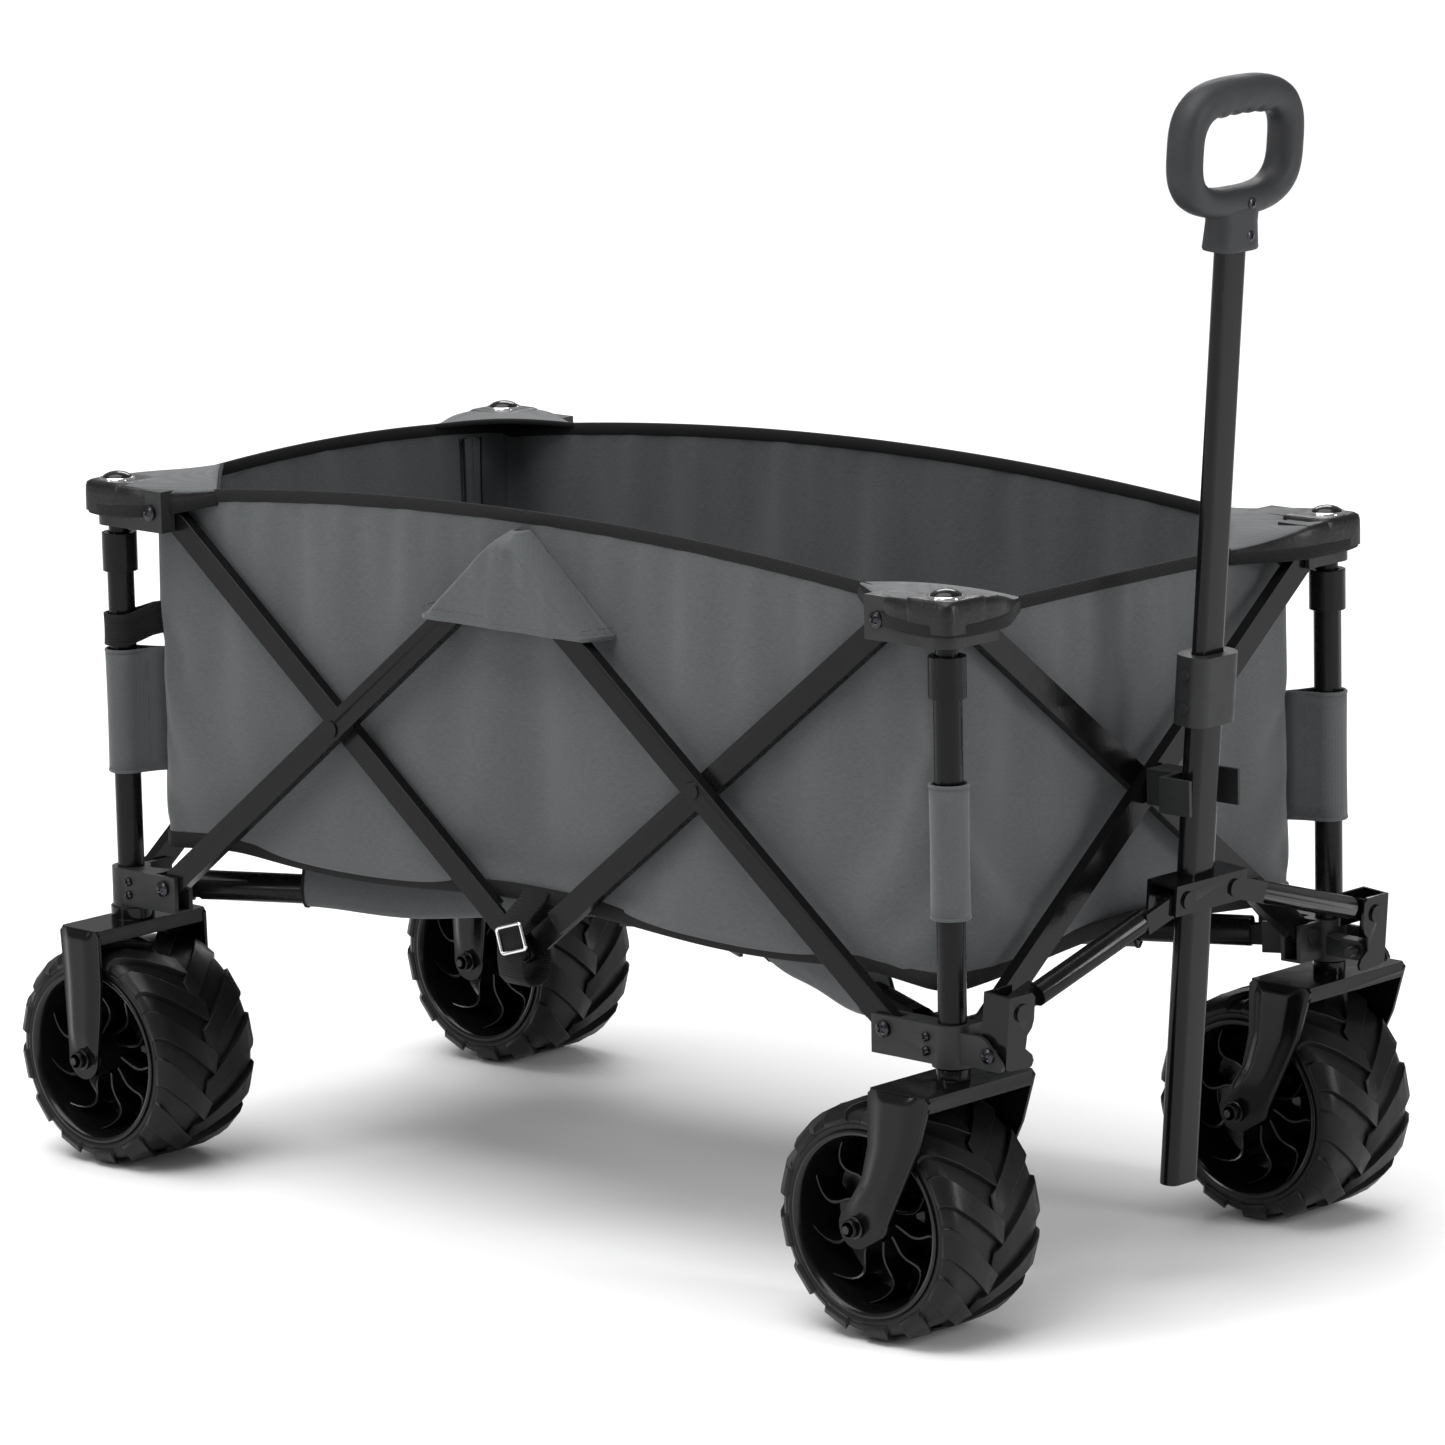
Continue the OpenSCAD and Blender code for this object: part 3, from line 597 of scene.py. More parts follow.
def add_rim(corner):
    centre = middle(corner + "_rim")
    shape = Shape()
    half = [(r * MM, y * MM) for r, y in RIM_HALF]
    shape.lathe([(r, -y) for r, y in reversed(half[1:-1])] + half, centre, (0, 1, 0), 72)
    for side in (-1, 1):
        for k in range(SPOKES):
            rings = []
            for i in range(15):
                u = i / 14
                radius = (15 + 50 * u) * MM
                angle = 2 * math.pi * k / SPOKES + side * (0.42 * u + 0.2 * math.sin(2 * math.pi * u))
                wide = 1.3 * MM / radius
                top = (36 - 8 * math.sin(math.pi * u) + 3 * u) * MM
                ring = []
                for y, turn in ((8 * MM, angle - wide * 1.5), (top, angle - wide), (top, angle + wide),
                                (8 * MM, angle + wide * 1.5)):
                    ring.append(centre + Vector((radius * math.cos(turn), side * y, radius * math.sin(turn))))
                rings.append(ring)
            shape.loft(rings)
    piece = shape.make(corner + "_spoked_rim", RIM, corner + "_wheel", 30, 0.5 * MM)
    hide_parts(corner + "_rim")


# ---- handle ----

def handle_matrix():
    """The leaning handle's own frame: origin between the swing pins, +Z up the tube."""
    swing = [j for j in frame["joints"] if j["name"] == "handle_swing"][0]["pos_m"]
    along = Vector([j for j in frame["joints"] if j["name"] == "handle_telescope"][0]["axis"]).normalized()
    side = Vector((0, 1, 0))
    ahead = side.cross(along)
    turn = Matrix((ahead, side, along)).transposed().to_4x4()
    return Matrix.Translation((swing[0], 0, swing[2])) @ turn


def round_outline(angle, half_w, half_h, power):
    c, s = abs(math.cos(angle)) / half_w, abs(math.sin(angle)) / half_h
    reach = (c ** power + s ** power) ** (-1 / power)
    return Vector((math.cos(angle) * reach, math.sin(angle) * reach))


def add_grip():
    """Loop grip: an outline and a window with four finger scallops, rounded into one bar."""
    top = 714 * MM
    half_w, half_h, half_t = 70 * MM, 53 * MM, 14 * MM
    centre_z = top - half_h
    shape = Shape()
    rings = []
    steps, around = 120, 20
    for i in range(steps):
        angle = 2 * math.pi * i / steps
        outer = round_outline(angle, half_w, half_h, 2.9)
        inner = round_outline(angle, 47.5 * MM, 28.5 * MM, 3.4) - Vector((0, 2 * MM))
        if angle < math.pi and abs(inner.x) < 31 * MM:
            fade = 1 - smooth(abs(inner.x), 24 * MM, 31 * MM)
            inner.y -= 2.6 * MM * fade * abs(math.sin(math.pi * inner.x / (15 * MM)))
        mid, half = (outer + inner) / 2, (outer - inner) / 2
        ring = []
        for k in range(around):
            t = 2 * math.pi * k / around
            c, s = math.cos(t), math.sin(t)
            bulge = (abs(c) ** 2.5 + abs(s) ** 2.5) ** (-1 / 2.5)
            ring.append(Vector((half_t * s * bulge, mid.x + half.x * c * bulge,
                                centre_z + mid.y + half.y * c * bulge)))
        rings.append(ring)
    shape.loft(rings, path_closed=True)
    neck = [(583, 22.6, 14.6), (584.5, 23.2, 15.2), (588, 22.8, 14.8), (604, 21.4, 14.0), (612, 22.5, 13.8),
            (618, 26, 13.2), (623, 33, 11.5), (626, 38, 9)]
    rings = []
    for z, half_y, half_x in neck:
        ring = []
        for k in range(32):
            t = 2 * math.pi * k / 32
            p = round_outline(t, half_x * MM, half_y * MM, 3.2)
            ring.append(Vector((p.x, p.y, z * MM)))
        rings.append(ring)
    shape.loft(rings)
    shape.move(handle_matrix())
    piece = shape.make("loop_grip", GRIP, "handle", 50)
    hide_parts("grip")
    screws = Shape()
    for z in (594 * MM, 619 * MM):
        screw_head(screws, Vector((13.2 * MM, 6 * MM, z)), (1, 0, 0), 4.2 * MM, 2.4 * MM)
    screws.move(handle_matrix())
    screws.make("grip_screws", DARK_METAL, "handle")


refine_frame()
add_screws()
add_forks()
for wheel in CORNERS:
    add_tyre(wheel)
    add_rim(wheel)
add_grip()


# ---- the bag's shape ----

CORNER_R = 22 * MM
LINK_PIVOT_X = 55 * MM
SIDES = ("right", "front", "left", "rear")
HALF = {"right": BAG_X, "left": BAG_X, "front": BAG_Y, "rear": BAG_Y}
COLUMNS = {"right": 72, "left": 72, "front": 34, "rear": 34}
ROWS = 26
PANEL_BODY = {"right": "rear_right_cap", "left": "rear_left_cap",
              "rear": "rear_right_cap", "front": "front_right_cap"}
CLOTH_OF = {"right": SIDE_CLOTH, "left": SIDE_CLOTH, "front": END_CLOTH, "rear": END_CLOTH}


def on_side(side, t, out, z):
    """A point on a wall: t along it from its middle, out from its outer face."""
    if side == "right":
        return Vector((MID_X + t, -BAG_Y - out, z))
    if side == "front":
        return Vector((MID_X + BAG_X + out, t, z))
    if side == "left":
        return Vector((MID_X - t, BAG_Y + out, z))
    return Vector((MID_X - BAG_X - out, -t, z))


def side_columns(side):
    """(t, out) of each column: half a corner's arc, the straight wall, and half an arc."""
    half = HALF[side] - CORNER_R
    count = COLUMNS[side]
    straight = [(-half + 2 * half * i / count, 0.0) for i in range(count + 1)]
    arc = []
    for degrees in (15, 30, 45):
        turn = math.radians(degrees)
        arc.append((half + CORNER_R * math.sin(turn), -CORNER_R * (1 - math.cos(turn))))
    return [(-t, out) for t, out in reversed(arc)] + straight + arc


def rim_height(side, t):
    """The side rims arch up over the middle joints, and the front rim hangs low between its corners."""
    ends, rise = {"right": (556, 28), "left": (556, 28), "rear": (560, 12), "front": (550, 2)}[side]
    return (ends + rise * (1 - (t / HALF[side]) ** 2)) * MM


def hem_height(side, t):
    if side in ("right", "left"):
        corner_dip = smooth(abs(t), HALF[side] - 120 * MM, HALF[side])
        wave = 5 * MM * math.cos(2 * math.pi * t / HALF[side])
        return BAG_LOW + 1 * MM + wave * (1 - corner_dip) - 6 * MM * corner_dip
    return BAG_LOW + 1.5 * MM + 6.5 * MM * math.cos(math.pi * t / HALF[side])


def link_distance(side, t, z):
    """How far a point of a wall is from the nearest link in front of it."""
    low, high = LINK_LOW, LINK_HIGH
    if side in ("right", "left"):
        half_span = HALF_X - LINK_PIVOT_X
        spans = [(-half_span, 0), (0, half_span)]
    else:
        half_span = HALF_Y - LINK_PIVOT_X / 2
        spans = [(-half_span, half_span)]
    nearest = 1.0
    for start, end in spans:
        for z0, z1 in ((low, high), (high, low)):
            along = Vector((end - start, z1 - z0))
            offset = Vector((t - start, z - z0))
            share = min(max(offset.dot(along) / along.length_squared, 0), 1)
            nearest = min(nearest, (offset - along * share).length)
    return nearest


def hang_walls():
    """The four walls as one ring of cloth, hung from its rim, its hem and the post sleeves."""
    columns = []
    for side in SIDES:
        columns += [(side, t, out) for t, out in side_columns(side)[:-1]]
    points, pins = [], []
    for side, t, out in columns:
        low, high = hem_height(side, t), rim_height(side, t)
        for row in range(ROWS + 1):
            z = low + (high - low) * row / ROWS
            points.append(on_side(side, t, out, z))
            at_sleeve = out < -5 * MM and SLEEVE_LOW < z < SLEEVE_HIGH
            at_joint = side in ("right", "left") and abs(t) < 20 * MM and z > LINK_HIGH - 10 * MM
            if row in (0, ROWS) or at_sleeve or at_joint:
                pins.append(len(points) - 1)
    count = len(columns)
    stride = ROWS + 1
    faces = []
    for c in range(count):
        n = (c + 1) % count
        for r in range(ROWS):
            faces.append([c * stride + r, n * stride + r, n * stride + r + 1, c * stride + r + 1])
    mesh = bpy.data.meshes.new("walls")
    mesh.from_pydata([tuple(p) for p in points], [], faces)
    walls = bpy.data.objects.new("walls", mesh)
    scene.collection.objects.link(walls)
    shape = np.array([tuple(p) for p in points])
    group = walls.vertex_groups.new(name="held")
    group.add(pins, 1.0, "REPLACE")
    cloth = walls.modifiers.new("cloth", "CLOTH")
    cloth.settings.vertex_group_mass = "held"
    cloth.settings.mass = 0.4
    cloth.settings.quality = 6
    cloth.settings.tension_stiffness = 40
    cloth.settings.compression_stiffness = 40
    cloth.settings.shear_stiffness = 15
    cloth.settings.bending_stiffness = 4
    cloth.settings.shrink_min = -0.009
    cloth.settings.use_pressure = True
    cloth.settings.uniform_pressure_force = 0.35
    frames = 40
    cloth.point_cache.frame_start = 1
    cloth.point_cache.frame_end = frames
    scene.frame_start, scene.frame_end = 1, frames
    for step in range(1, frames + 1):
        scene.frame_set(step)
    settled = walls.evaluated_get(bpy.context.evaluated_depsgraph_get())
    shape = np.array([tuple(v.co) for v in settled.data.vertices])
    scene.frame_set(1)
    bpy.data.objects.remove(walls)
    shape = shape.reshape(count, stride, 3)
    result, start = {}, 0
    for side in SIDES:
        width = len(side_columns(side))
        rows = [(start + i) % count for i in range(width)]
        result[side] = keep_clear(side, shape[rows])
        start += width - 1
    return result


def outward(side):
    return {"right": Vector((0, -1, 0)), "left": Vector((0, 1, 0)),
            "front": Vector((1, 0, 0)), "rear": Vector((-1, 0, 0))}[side]


def keep_clear(side, grid):
    """Holds a wall's cloth off the links that cross it, and lets it belly out between them."""
    out = outward(side)
    clear = []
    for (t, base), column in zip(side_columns(side), grid):
        line = []
        for x, y, z in column:
            point = Vector((x, y, z))
            proud = (point - on_side(side, t, base, z)).dot(out)
            most = 2 * MM + 7 * MM * smooth(link_distance(side, t, z), 14 * MM, 60 * MM)
            held = most * math.tanh(proud / most) if proud > 0 else max(proud, -16 * MM)
            line.append(point + out * (held - proud))
        clear.append(line)
    return clear


def sheet_piece(name, grid, material, body, thick=1.2 * MM, subdivide=1):
    """A cloth sheet from a grid of points, given its thickness by a modifier."""
    shape = Shape()
    shape.loft(grid, ring_closed=False, capped=False)
    piece = shape.make(name, material, body, 180)
    if subdivide:
        fine = piece.modifiers.new("fine", "SUBSURF")
        fine.levels = fine.render_levels = subdivide
    body_of = piece.modifiers.new("cloth_thickness", "SOLIDIFY")
    body_of.thickness = thick
    body_of.offset = 0
    return piece


def fold_with(piece, side):
    """Gives a wall's piece its own copy of its mesh."""
    if side in ("right", "left"):
        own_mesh(piece)
    else:
        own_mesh(piece)


def stitch_line(shape, path, out, pitch=4.4 * MM, long=3 * MM, thick=0.35 * MM):
    """Raised thread stitches along a path, lying on the surface that out points away from."""
    carried = 0.0
    for a, b in zip(path[:-1], path[1:]):
        along = b - a
        length = along.length
        if length < 1e-6:
            continue
        along = along / length
        side = along.cross(out).normalized()
        while carried < length:
            start, end = a + along * carried, a + along * min(carried + long, length)
            if (end - start).length > 0.4 * long:
                rings = []
                for p, swell in ((start, 0.4), ((start + end) / 2, 1.0), (end, 0.4)):
                    rings.append([p - side * thick + out * 0.1 * thick, p + out * thick * swell * 1.6,
                                  p + side * thick + out * 0.1 * thick, p - out * thick])
                shape.loft(rings)
            carried += pitch
        carried -= length


def add_walls(walls):
    for side in SIDES:
        grid = walls[side]
        piece = sheet_piece(side + "_wall", grid, CLOTH_OF[side], PANEL_BODY[side])
        if side == "right":
            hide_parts("bag")
        fold_with(piece, side)
        rim = Shape()
        path = [column[-1] - UP * 3.5 * MM for column in grid]
        rim.sweep(path, flat_section(10.5 * MM, 3.6 * MM))
        fold_with(rim.make(side + "_rim_tape", TAPE, PANEL_BODY[side], 50), side)
        hem = Shape()
        path = [column[0] + UP * 2.5 * MM for column in grid]
        hem.sweep(path, flat_section(13 * MM, 3.4 * MM))
        fold_with(hem.make(side + "_hem_tape", TAPE, PANEL_BODY[side], 50), side)


def add_joint_flap(side):
    """Three-sided cloth cover that is drawn tight over the upper middle joint of a side's links."""
    top_z, low_z = rim_height(side, 0) - 13 * MM, 496 * MM
    slope = 1.18
    proud, edge_out = HALF_Y - BAG_Y + 13.5 * MM, 2.5 * MM
    grid = []
    columns, rows = 44, 20
    for c in range(columns + 1):
        u = 2 * c / columns - 1
        line = []
        for r in range(rows + 1):
            v = r / rows
            z = top_z + (low_z - top_z) * v
            half = 7 * MM + (top_z - z) * slope
            t = half * u
            fall = smooth(abs(t), max(half - 7 * MM, 0.45 * half), half)
            out = edge_out + (proud - edge_out) * (1 - fall) * smooth(v, -0.1, 0.14)
            crease = 1.1 * MM * math.sin(abs(t) * 260 + 1.0) * (1 - v) ** 2 * smooth(v, 0.02, 0.15)
            slack = 1.6 * MM * math.sin(t * 52 + 0.6) * v * (1 - fall)
            line.append(on_side(side, t, out - abs(slack) + crease, z))
        grid.append(line)
    piece = sheet_piece(side + "_joint_flap", grid, SIDE_CLOTH, PANEL_BODY[side], 1.4 * MM)
    fold_with(piece, side)
    seams = Shape()
    out = outward(side)
    for path in (grid[0], grid[-1]):
        seams.sweep([p + out * 0.6 * MM for p in path], flat_section(2.4 * MM, 1.6 * MM), out)
    hem = [column[-1] + UP * 1 * MM for column in grid]
    seams.sweep(hem, flat_section(4 * MM, 2.2 * MM))
    fold_with(seams.make(side + "_flap_seams", SIDE_CLOTH, PANEL_BODY[side], 50), side)
    thread = Shape()
    stitch_line(thread, [column[-1] + UP * 8 * MM + out * 1.0 * MM for column in grid], out)
    fold_with(thread.make(side + "_flap_stitches", THREAD, PANEL_BODY[side]), side)


def add_inner_strips(side, walls):
    """Upright facings inside an end wall, beside its corners, sewn down along both edges."""
    centre, width = HALF[side] - 44 * MM, 13 * MM
    for sign, label in ((-1, "first"), (1, "second")):
        columns = [c for (t, _), c in zip(side_columns(side), walls[side]) if abs(t * sign - centre) <= width]
        inside = [[p - outward(side) * (3 + 1.5 * (i % 2)) * MM for p in column[1:-1]]
                  for i, column in enumerate(columns)]
        name = side + "_" + label + "_strip"
        piece = sheet_piece(name, inside, END_CLOTH, PANEL_BODY[side], 1.6 * MM)
        fold_with(piece, side)
        edges = Shape()
        for column in (inside[0], inside[-1]):
            path = [p - outward(side) * 0.8 * MM for p in column]
            edges.sweep(path, flat_section(2 * MM, 2 * MM), outward(side))
        fold_with(edges.make(name + "_edges", TAPE, PANEL_BODY[side], 50), side)
        thread = Shape()
        line = [p - outward(side) * 1.4 * MM for p in inside[1 if sign < 0 else -2]]
        stitch_line(thread, line, -outward(side))
        fold_with(thread.make(name + "_stitches", THREAD, PANEL_BODY[side]), side)


# half of a hood's outline, from its tip on the bag's rim to the corner of its post, as (a, b)
HOOD = [(100, 16.4), (86, 8), (72, -2), (58, -11), (45, -17), (31, -19.6), (15, -20), (0, -20),
        (-11, -17.5), (-16, -16)]


def hood_rim(corner, a, b):
    """Height of the hood's top edge, and of the bag's rim that it meets, at a point of its outline."""
    along_side = a > b
    side = corner.split("_")[1] if along_side else corner.split("_")[0]
    far = max(a, b)
    t = HALF[side] - (far - 17) * MM
    rim = rim_height(side, t) + 0.6 * MM
    return CAP_TOP + 1.4 * MM + (rim - CAP_TOP - 1.4 * MM) * smooth(far, 24, 100), rim


def add_corner_cover(corner):
    """Hood over a corner bracket: cloth from rim to rim, a vinyl box, twill binding and a domed stud."""
    outer = HOOD + [(b, a) for a, b in reversed(HOOD[:-1])]
    count = len(outer)
    body = corner + "_cap"
    grid, hem = [], []
    for i, (a, b) in enumerate(outer):
        share = i / (count - 1)
        start = Vector((a, b)) * MM
        end = Vector((101, 17.4)).lerp(Vector((17.4, 101)), share) * MM
        top, rim = hood_rim(corner, a, b)
        far = max(a, b, 0) / 100
        low = (543 * MM) * (1 - far ** 1.3) + (rim - 10 * MM) * far ** 1.3
        wide = (end - start).length
        inward = (end - start) / max(wide, 1e-6)
        line = [(start, low), (start, (low + top) / 2),
                (start + inward * min(0.6 * MM, wide / 4), top - 2.6 * MM),
                (start + inward * min(2.4 * MM, wide / 3), top - 0.4 * MM)]
        ridge = 4 * MM * math.sin(math.pi * share)
        ends = hood_rim(corner, 101, 17)[1] * (1 - share) + hood_rim(corner, 17, 101)[1] * share
        inner_z = ends + ridge
        for reach in (0.25, 0.5, 0.75, 1.0):
            sag = 1.6 * MM * math.sin(math.pi * reach) * math.sin(math.pi * share)
            line.append((start.lerp(end, reach), top + (inner_z - top) * reach - sag))
        grid.append([at_corner(corner, p.x, p.y, z) for p, z in line])
        hem.append(at_corner(corner, a * MM, b * MM, low + 3 * MM))
    piece = sheet_piece(corner + "_top_cover", grid, SIDE_CLOTH, body, 1.6 * MM)
    piece.data.materials.append(VINYL)
    for face in piece.data.polygons:
        face.material_index = 1 if abs(face.normal.z) < 0.6 else 0
    binding = Shape()
    binding.sweep(hem, flat_section(10 * MM, 3.6 * MM))
    edge = [line[-1] - UP * 1 * MM for line in grid]
    binding.sweep(edge, flat_section(4.4 * MM, 3.4 * MM))
    binding.make(corner + "_cover_binding", TAPE, body, 50)
    add_hood_box(corner)
    add_stud(corner)


def add_hood_box(corner):
    """Vinyl over the post's end: a soft-cornered box whose lower edge dips to the hood's corner."""
    body = corner + "_cap"
    low_face, high_face = -21.2 * MM, 27 * MM
    mid = (low_face + high_face) / 2
    half = (high_face - low_face) / 2
    top = CAP_TOP + 2.6 * MM
    rings = []
    for lift, inset in ((0, 0), (0.5, 0), (0.8, 0.2), (0.93, 1.1), (0.99, 3.2), (1.0, 6), (1.0, 10)):
        ring = []
        for k in range(64):
            turn = 2 * math.pi * k / 64
            p = round_outline(turn, half - inset * MM, half - inset * MM, 6)
            a, b = mid + p.x, mid + p.y
            low = 544 * MM + 8 * MM * smooth(max(a, b), 0, high_face)
            low += 9 * MM * smooth(min(a, b), 0, high_face)
            ring.append(at_corner(corner, a, b, low + (top - low) * lift))
        rings.append(ring)
    shape = Shape()
    shape.loft(rings)
    shape.make(corner + "_hood_box", VINYL, body, 60)


def add_stud(corner):
    body = corner + "_cap"
    centre = Vector((POSTS[corner].x, POSTS[corner].y, CAP_TOP + 2.4 * MM))
    ring = Shape()
    profile = [(12.6, 0), (12.8, 1.5), (13.5, 2), (14.4, 1.5), (14.8, 0)]
    ring.lathe([(r * MM, z * MM) for r, z in profile], centre, (0, 0, 1), 48)
    ring.make(corner + "_stud_ring", CHROME, body, 60)
    dome = Shape()
    profile = [(0.05, 6.4), (3, 6.2), (6, 5.6), (9, 4.5), (11.4, 3.0), (12.8, 1.2), (12.8, 0.2), (0.05, 0.2)]
    dome.lathe([(r * MM, z * MM) for r, z in profile], centre, (0, 0, 1), 48)
    dome.make(corner + "_stud_dome", RIM, body, 60)


def sleeve_outline(radius, reach, count=26):
    """Plan of a band wrapped round a post and sewn flat at the bag's corner, as (along, across)."""
    points = []
    for i in range(count + 1):
        turn = math.radians(55) + math.radians(250) * i / count
        points.append((radius * math.cos(turn), radius * math.sin(turn)))
    for (x, y), gap, shares in ((points[count], -1.2 * MM, (0.25, 0.6, 1.0)),
                                (points[0], 1.2 * MM, (1.0, 0.6, 0.25))):
        for share in shares:
            points.append((x + (reach - x) * share, y * (1 - share) ** 1.4 + gap * share))
    return points


def band_round_post(corner, low, high, radius, reach, tilt=0.0, rows=8):
    """Grid of a band round a post: the outline at each height, closed on itself."""
    diagonal = Vector((1, 1)).normalized()
    across = Vector((-diagonal.y, diagonal.x))
    grid = []
    for along, side in sleeve_outline(radius, reach):
        line = []
        for r in range(rows + 1):
            z = low + (high - low) * r / rows + tilt * smooth(along, 0, reach)
            pinch = 1 - 0.03 * math.sin(math.pi * r / rows)
            p = diagonal * along * (pinch if along < 0 else 1) + across * side * pinch
            line.append(at_corner(corner, p.x, p.y, z))
        grid.append(line)
    return grid


def add_post_sleeve(corner):
    reach = (BAG_INSET + CORNER_R) * math.sqrt(2) - CORNER_R + 1 * MM
    low, high = SLEEVE_LOW, SLEEVE_HIGH
    grid = band_round_post(corner, low, high, 13.6 * MM, reach)
    shape = Shape()
    shape.loft(grid, ring_closed=False, path_closed=True, capped=False)
    name = corner + "_post_sleeve"
    piece = shape.make(name, SIDE_CLOTH, LOW_BODY[corner], 180)
    thick = piece.modifiers.new("cloth_thickness", "SOLIDIFY")
    thick.thickness = 1.6 * MM
    thick.offset = 1
    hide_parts("post_sleeves")
    hems = Shape()
    for z in (low + 1 * MM, high - 1 * MM):
        ring = [column[0] for column in band_round_post(corner, z, z + 1 * MM, 14.4 * MM, reach)]
        hems.sweep(ring, flat_section(3 * MM, 2.4 * MM), closed=True)
    hems.make(corner + "_sleeve_hems", SIDE_CLOTH, LOW_BODY[corner], 50)
    thread = Shape()
    for turn in (1, -1):
        radius_out = 15.1 * MM
        diagonal = Vector((1, 1)).normalized()
        across = Vector((-diagonal.y, diagonal.x)) * turn
        p = across * (radius_out - 1.0 * MM) * 0.62 + diagonal * 19 * MM
        path = [at_corner(corner, p.x, p.y, low + (high - low) * i / 20) for i in range(21)]
        fx, fy = CORNERS[corner]
        out = Vector((-fx * across.x, -fy * across.y, 0)).normalized()
        stitch_line(thread, path, out)
    thread.make(corner + "_sleeve_stitches", THREAD, LOW_BODY[corner])


def add_post_strap(corner):
    """Webbing loop that holds the bag's corner to a rear post, above its sleeve."""
    reach = (BAG_INSET + CORNER_R) * math.sqrt(2) - CORNER_R + 2 * MM
    grid = band_round_post(corner, 432 * MM, 458 * MM, 13.4 * MM, reach, 9 * MM, 4)
    shape = Shape()
    shape.loft(grid, ring_closed=False, path_closed=True, capped=False)
    piece = shape.make(corner + "_post_strap", WEBBING, LOW_BODY[corner], 180)
    thick = piece.modifiers.new("webbing_thickness", "SOLIDIFY")
    thick.thickness = 2 * MM
    thick.offset = 1


def add_joint_strap(side):
    """Webbing slung under the lower middle joint, with the wire buckle that joins its ends."""
    body = "chassis" if side == "right" else "rear_left_corner"
    # (out from the wall, height) round the joint, from the hem down outside it and up inside
    route = [(1, 283), (8, 276), (22, 267), (31, 258), (33, 246), (33, 230), (31.5, 219), (25, 212.5),
             (15, 211.5), (6, 215), (2.6, 223), (2.2, 238), (1.5, 258), (0, 276)]
    width = 28 * MM
    shape = Shape()
    path = [on_side(side, 3 * MM, out * MM, z * MM) for out, z in route]
    shape.sweep(path, flat_section(width, 2 * MM), outward(side).cross(UP))
    piece = shape.make(side + "_joint_strap", WEBBING, body, 50)
    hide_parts("joint_straps")
    fold_with(piece, side)
    wire = Shape()
    corners = [(-13, 9), (13, 17), (19, -3), (-7, -11)]
    loop = []
    for i, (x, z) in enumerate(corners):
        px, pz = corners[i - 1]
        nx, nz = corners[(i + 1) % 4]
        here = Vector((x, z))
        before, after = Vector((px, pz)) - here, Vector((nx, nz)) - here
        for k in range(5):
            share = k / 4
            a, b = here + before.normalized() * 3, here + after.normalized() * 3
            loop.append(a.lerp(here, share).lerp(here.lerp(b, share), share))
    points = [on_side(side, (x + 4) * MM, 35.5 * MM, LINK_LOW + (z + 12) * MM) for x, z in loop]
    wire.sweep(points, ring_of(10, 1.5 * MM), outward(side), closed=True)
    fold_with(wire.make(side + "_strap_buckle", CHROME, body, 60), side)


# ---- the bag's floor ----

def floor_point(corner, u, v, inset=0.0):
    """u along the side and v along the end, 0 at the corner and 1 at the middle of the floor."""
    a = BAG_INSET + inset + (HALF_X - BAG_INSET - inset) * u
    b = BAG_INSET + inset + (HALF_Y - BAG_INSET - inset) * v
    hub = Vector((BAG_INSET + CORNER_R, BAG_INSET + CORNER_R))
    p = Vector((a, b))
    if a < hub.x and b < hub.y and (p - hub).length > CORNER_R - inset * 0.3:
        p = hub + (p - hub).normalized() * (CORNER_R - inset * 0.3)
    return p


def floor_height(corner, p):
    """Sags between the walls and rests on the sleeved arm along the diagonal."""
    fx, fy = CORNERS[corner]
    t = HALF_X - p.x
    wall = hem_height("right", t * fx)
    end = hem_height("front", (HALF_Y - p.y) * fy)
    near_side, near_end = p.y - BAG_INSET, p.x - BAG_INSET
    edge = (wall * near_end + end * near_side) / max(near_side + near_end, 1e-6)
    slack = min(near_side, near_end)
    level = BAG_LOW - 2 * MM
    return edge + (level - edge) * smooth(slack, 0, 70 * MM)


def fold_floor(piece):
    """Gives a quarter of the floor its own copy of its mesh."""
    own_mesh(piece)


def add_floor(corner):
    columns, rows = 34, 18
    grid = []
    for i in range(columns + 1):
        line = []
        for j in range(rows + 1):
            p = floor_point(corner, i / columns, j / rows)
            line.append(at_corner(corner, p.x, p.y, floor_height(corner, p)))
        grid.append(line)
    piece = sheet_piece(corner + "_floor", grid, FLOOR_CLOTH, corner + "_arm", 1.2 * MM, 0)
    fold_floor(piece)


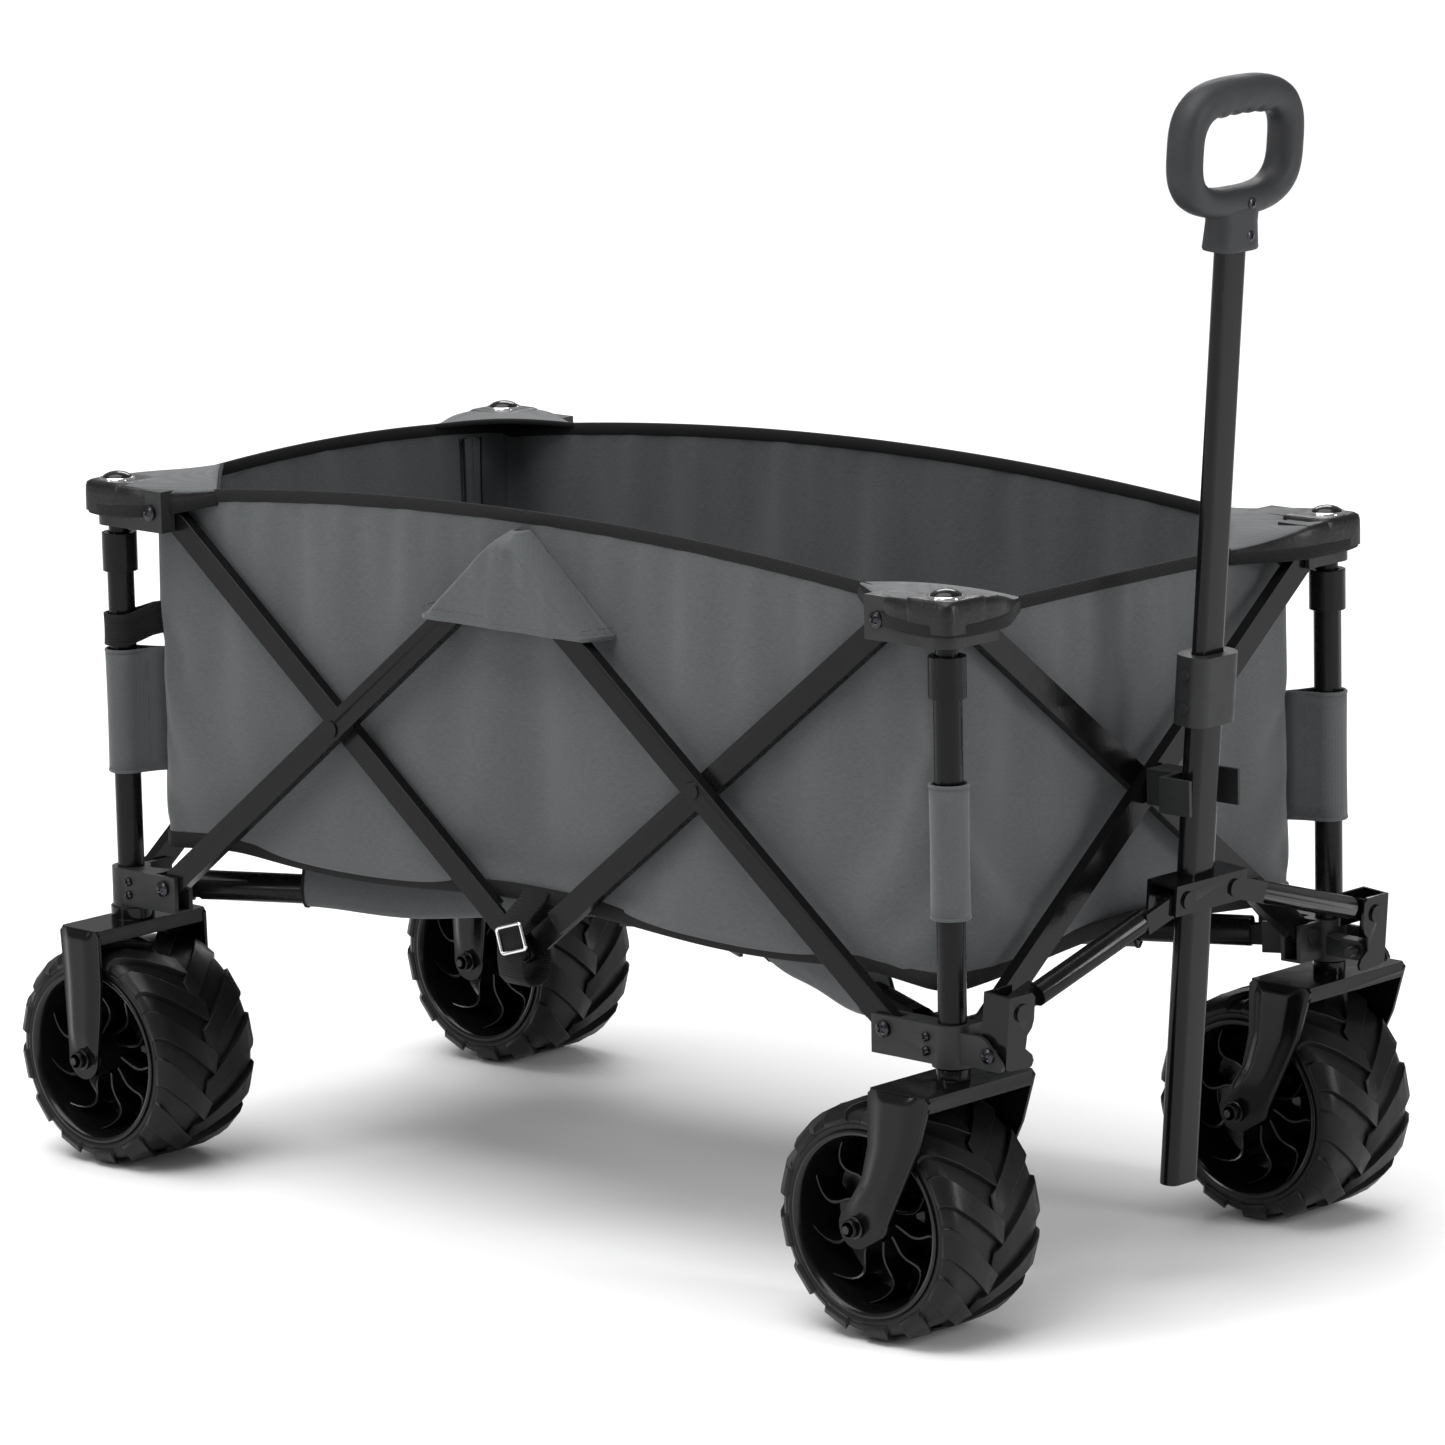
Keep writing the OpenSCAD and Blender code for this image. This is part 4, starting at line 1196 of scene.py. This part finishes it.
def add_mat(corner):
    """A quarter of the padded mat: crowned, pulled in at its bound edges, one sewn channel."""
    columns, rows = 36, 18
    inset = 9 * MM
    shape = Shape()
    sheets = {}
    for layer in (0, 1):
        grid = []
        for i in range(columns + 1):
            line = []
            for j in range(rows + 1):
                u, v = i / columns, j / rows
                p = floor_point(corner, u * 0.995, v * 0.99, inset)
                edge = min(u * HALF_X, (1 - u) * HALF_X, v * HALF_Y, (1 - v) * HALF_Y)
                crown = smooth(edge, 0, 22 * MM)
                seam = 1 - 0.55 * math.exp(-((u - 0.5) * HALF_X / (5 * MM)) ** 2)
                rise = (3.2 * MM + 7.5 * MM * crown * seam) if layer else 0.8 * MM
                z = BAG_LOW + 1 * MM + rise
                line.append(at_corner(corner, p.x, p.y, z))
            grid.append(line)
        sheets[layer] = grid
    rings = [top + list(reversed(low)) for top, low in zip(sheets[1], sheets[0])]
    shape.loft(rings)
    piece = shape.make(corner + "_mat", FLOOR_CLOTH, corner + "_arm", 60)
    if corner == "rear_right":
        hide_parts("floor_mat")
    fold_floor(piece)
    top = sheets[1]
    border = [line[0] for line in top] + top[-1][1:]
    border += [line[-1] for line in reversed(top[:-1])] + top[0][-2:0:-1]
    binding = Shape()
    binding.sweep(border, flat_section(5 * MM, 4 * MM), closed=True)
    fold_floor(binding.make(corner + "_mat_binding", TAPE, corner + "_arm", 50))


def add_arm_sleeve(corner):
    """Cloth tunnel that hangs from the floor and holds the undercarriage arm."""
    fx, fy = CORNERS[corner]
    along = Vector((-fx * HALF_X, -fy * HALF_Y, 0)).normalized()
    arm_z = ARM_Z + 2 * MM
    post = Vector((POSTS[corner].x, POSTS[corner].y, arm_z))
    start, end, steps = 154 * MM, 366 * MM, 24
    outline = [(2, 34), (-2, 34), (-7, 24), (-12, 12), (-14.6, 2), (-13.2, -8), (-7.5, -14), (0, -16),
               (7.5, -14), (13.2, -8), (14.6, 2), (12, 12), (7, 24)]
    shape = Shape()
    rings = []
    side = along.cross(UP).normalized()
    for i in range(steps + 1):
        u = i / steps
        place = post + along * (start + (end - start) * u)
        droop = 3.5 * MM * math.sin(math.pi * u) + 1.5 * MM * math.sin(9 * u + fx + fy)
        ring = []
        for s, h in outline:
            low = smooth(-h, -30, 14)
            ring.append(place + side * s * MM + UP * (h * MM - droop * low))
        rings.append(ring)
    shape.loft(rings)
    shape.make(corner + "_arm_sleeve", FLOOR_CLOTH, corner + "_arm", 60)
    hem = Shape()
    for ring in (rings[0], rings[-1]):
        hem.sweep(ring, ring_of(6, 1.3 * MM), along, closed=True)
    hem.make(corner + "_arm_sleeve_hems", TAPE, corner + "_arm", 60)


walls = hang_walls()
add_walls(walls)
for side in ("right", "left"):
    add_joint_flap(side)
    add_joint_strap(side)
for side in ("front", "rear"):
    add_inner_strips(side, walls)
for corner in CORNERS:
    add_corner_cover(corner)
    add_post_sleeve(corner)
    add_floor(corner)
    add_mat(corner)
    add_arm_sleeve(corner)
for corner in ("rear_right", "rear_left"):
    add_post_strap(corner)


# ---- floor, light and camera ----

def area_light(name, place, aim, size, power):
    data = bpy.data.lights.new(name, "AREA")
    data.shape = "RECTANGLE"
    data.size, data.size_y = size
    data.energy = power
    light = bpy.data.objects.new(name, data)
    light.location = place
    light.rotation_euler = (Vector(aim) - Vector(place)).to_track_quat("-Z", "Y").to_euler()
    scene.collection.objects.link(light)


def add_studio():
    world = bpy.data.worlds.new("studio")
    world.use_nodes = True
    world.node_tree.nodes["Background"].inputs["Color"].default_value = (1, 1, 1, 1)
    world.node_tree.nodes["Background"].inputs["Strength"].default_value = 0.3
    scene.world = world
    scene.view_settings.view_transform = "Standard"
    mesh = bpy.data.meshes.new("floor")
    reach = 12.0
    square = [(-reach, -reach, 0), (reach, -reach, 0), (reach, reach, 0), (-reach, reach, 0)]
    mesh.from_pydata(square, [], [(0, 1, 2, 3)])
    floor = bpy.data.objects.new("studio_floor", mesh)
    scene.collection.objects.link(floor)
    paper = Finish("paper", (0.86, 0.86, 0.86), 0.9)
    paper.vary_colour(paper.spread(paper.noise(3, 2), 0.985, 1.015))
    mesh.materials.append(paper.material)
    sun = bpy.data.lights.new("sky", "SUN")
    sun.energy = 3.0
    sun.angle = math.radians(60)
    overhead = bpy.data.objects.new("sky", sun)
    overhead.rotation_euler = (math.radians(8), math.radians(-6), 0)
    scene.collection.objects.link(overhead)
    area_light("key", (-1.4, -4.2, 2.2), (0, 0, 0.3), (0.9, 2.2), 44)
    area_light("side", (4.4, 0.9, 1.8), (0, 0, 0.35), (0.8, 2.2), 74)
    area_light("back", (-2.6, 3.2, 2.8), (0, 0, 0.4), (2.0, 0.8), 40)
    area_light("inside", (0.3, -1.6, 2.6), (0, 0.3, 0.5), (1.6, 0.6), 16)


def add_camera():
    """The photograph's viewing angle: a long lens from the front right, a little above."""
    azimuth, elevation, roll = math.radians(43.141), math.radians(11.288), math.radians(-1.213)
    distance = 6.209
    back = Vector((math.sin(azimuth) * math.cos(elevation), -math.cos(azimuth) * math.cos(elevation),
                   math.sin(elevation)))
    level = Vector((math.cos(azimuth), math.sin(azimuth), 0))
    upright = back.cross(level)
    right = level * math.cos(roll) + upright * math.sin(roll)
    up = upright * math.cos(roll) - level * math.sin(roll)
    target = Vector((MID_X, 0, 0.408)) + right * 0.00804 - up * 0.02371
    data = bpy.data.cameras.new("camera")
    data.sensor_width = 36
    data.lens = 192.83
    data.clip_end = 60
    camera = bpy.data.objects.new("camera", data)
    turn = Matrix((right, up, back)).transposed().to_4x4()
    camera.matrix_world = Matrix.Translation(target + back * distance) @ turn
    scene.collection.objects.link(camera)
    scene.camera = camera


add_studio()
add_camera()
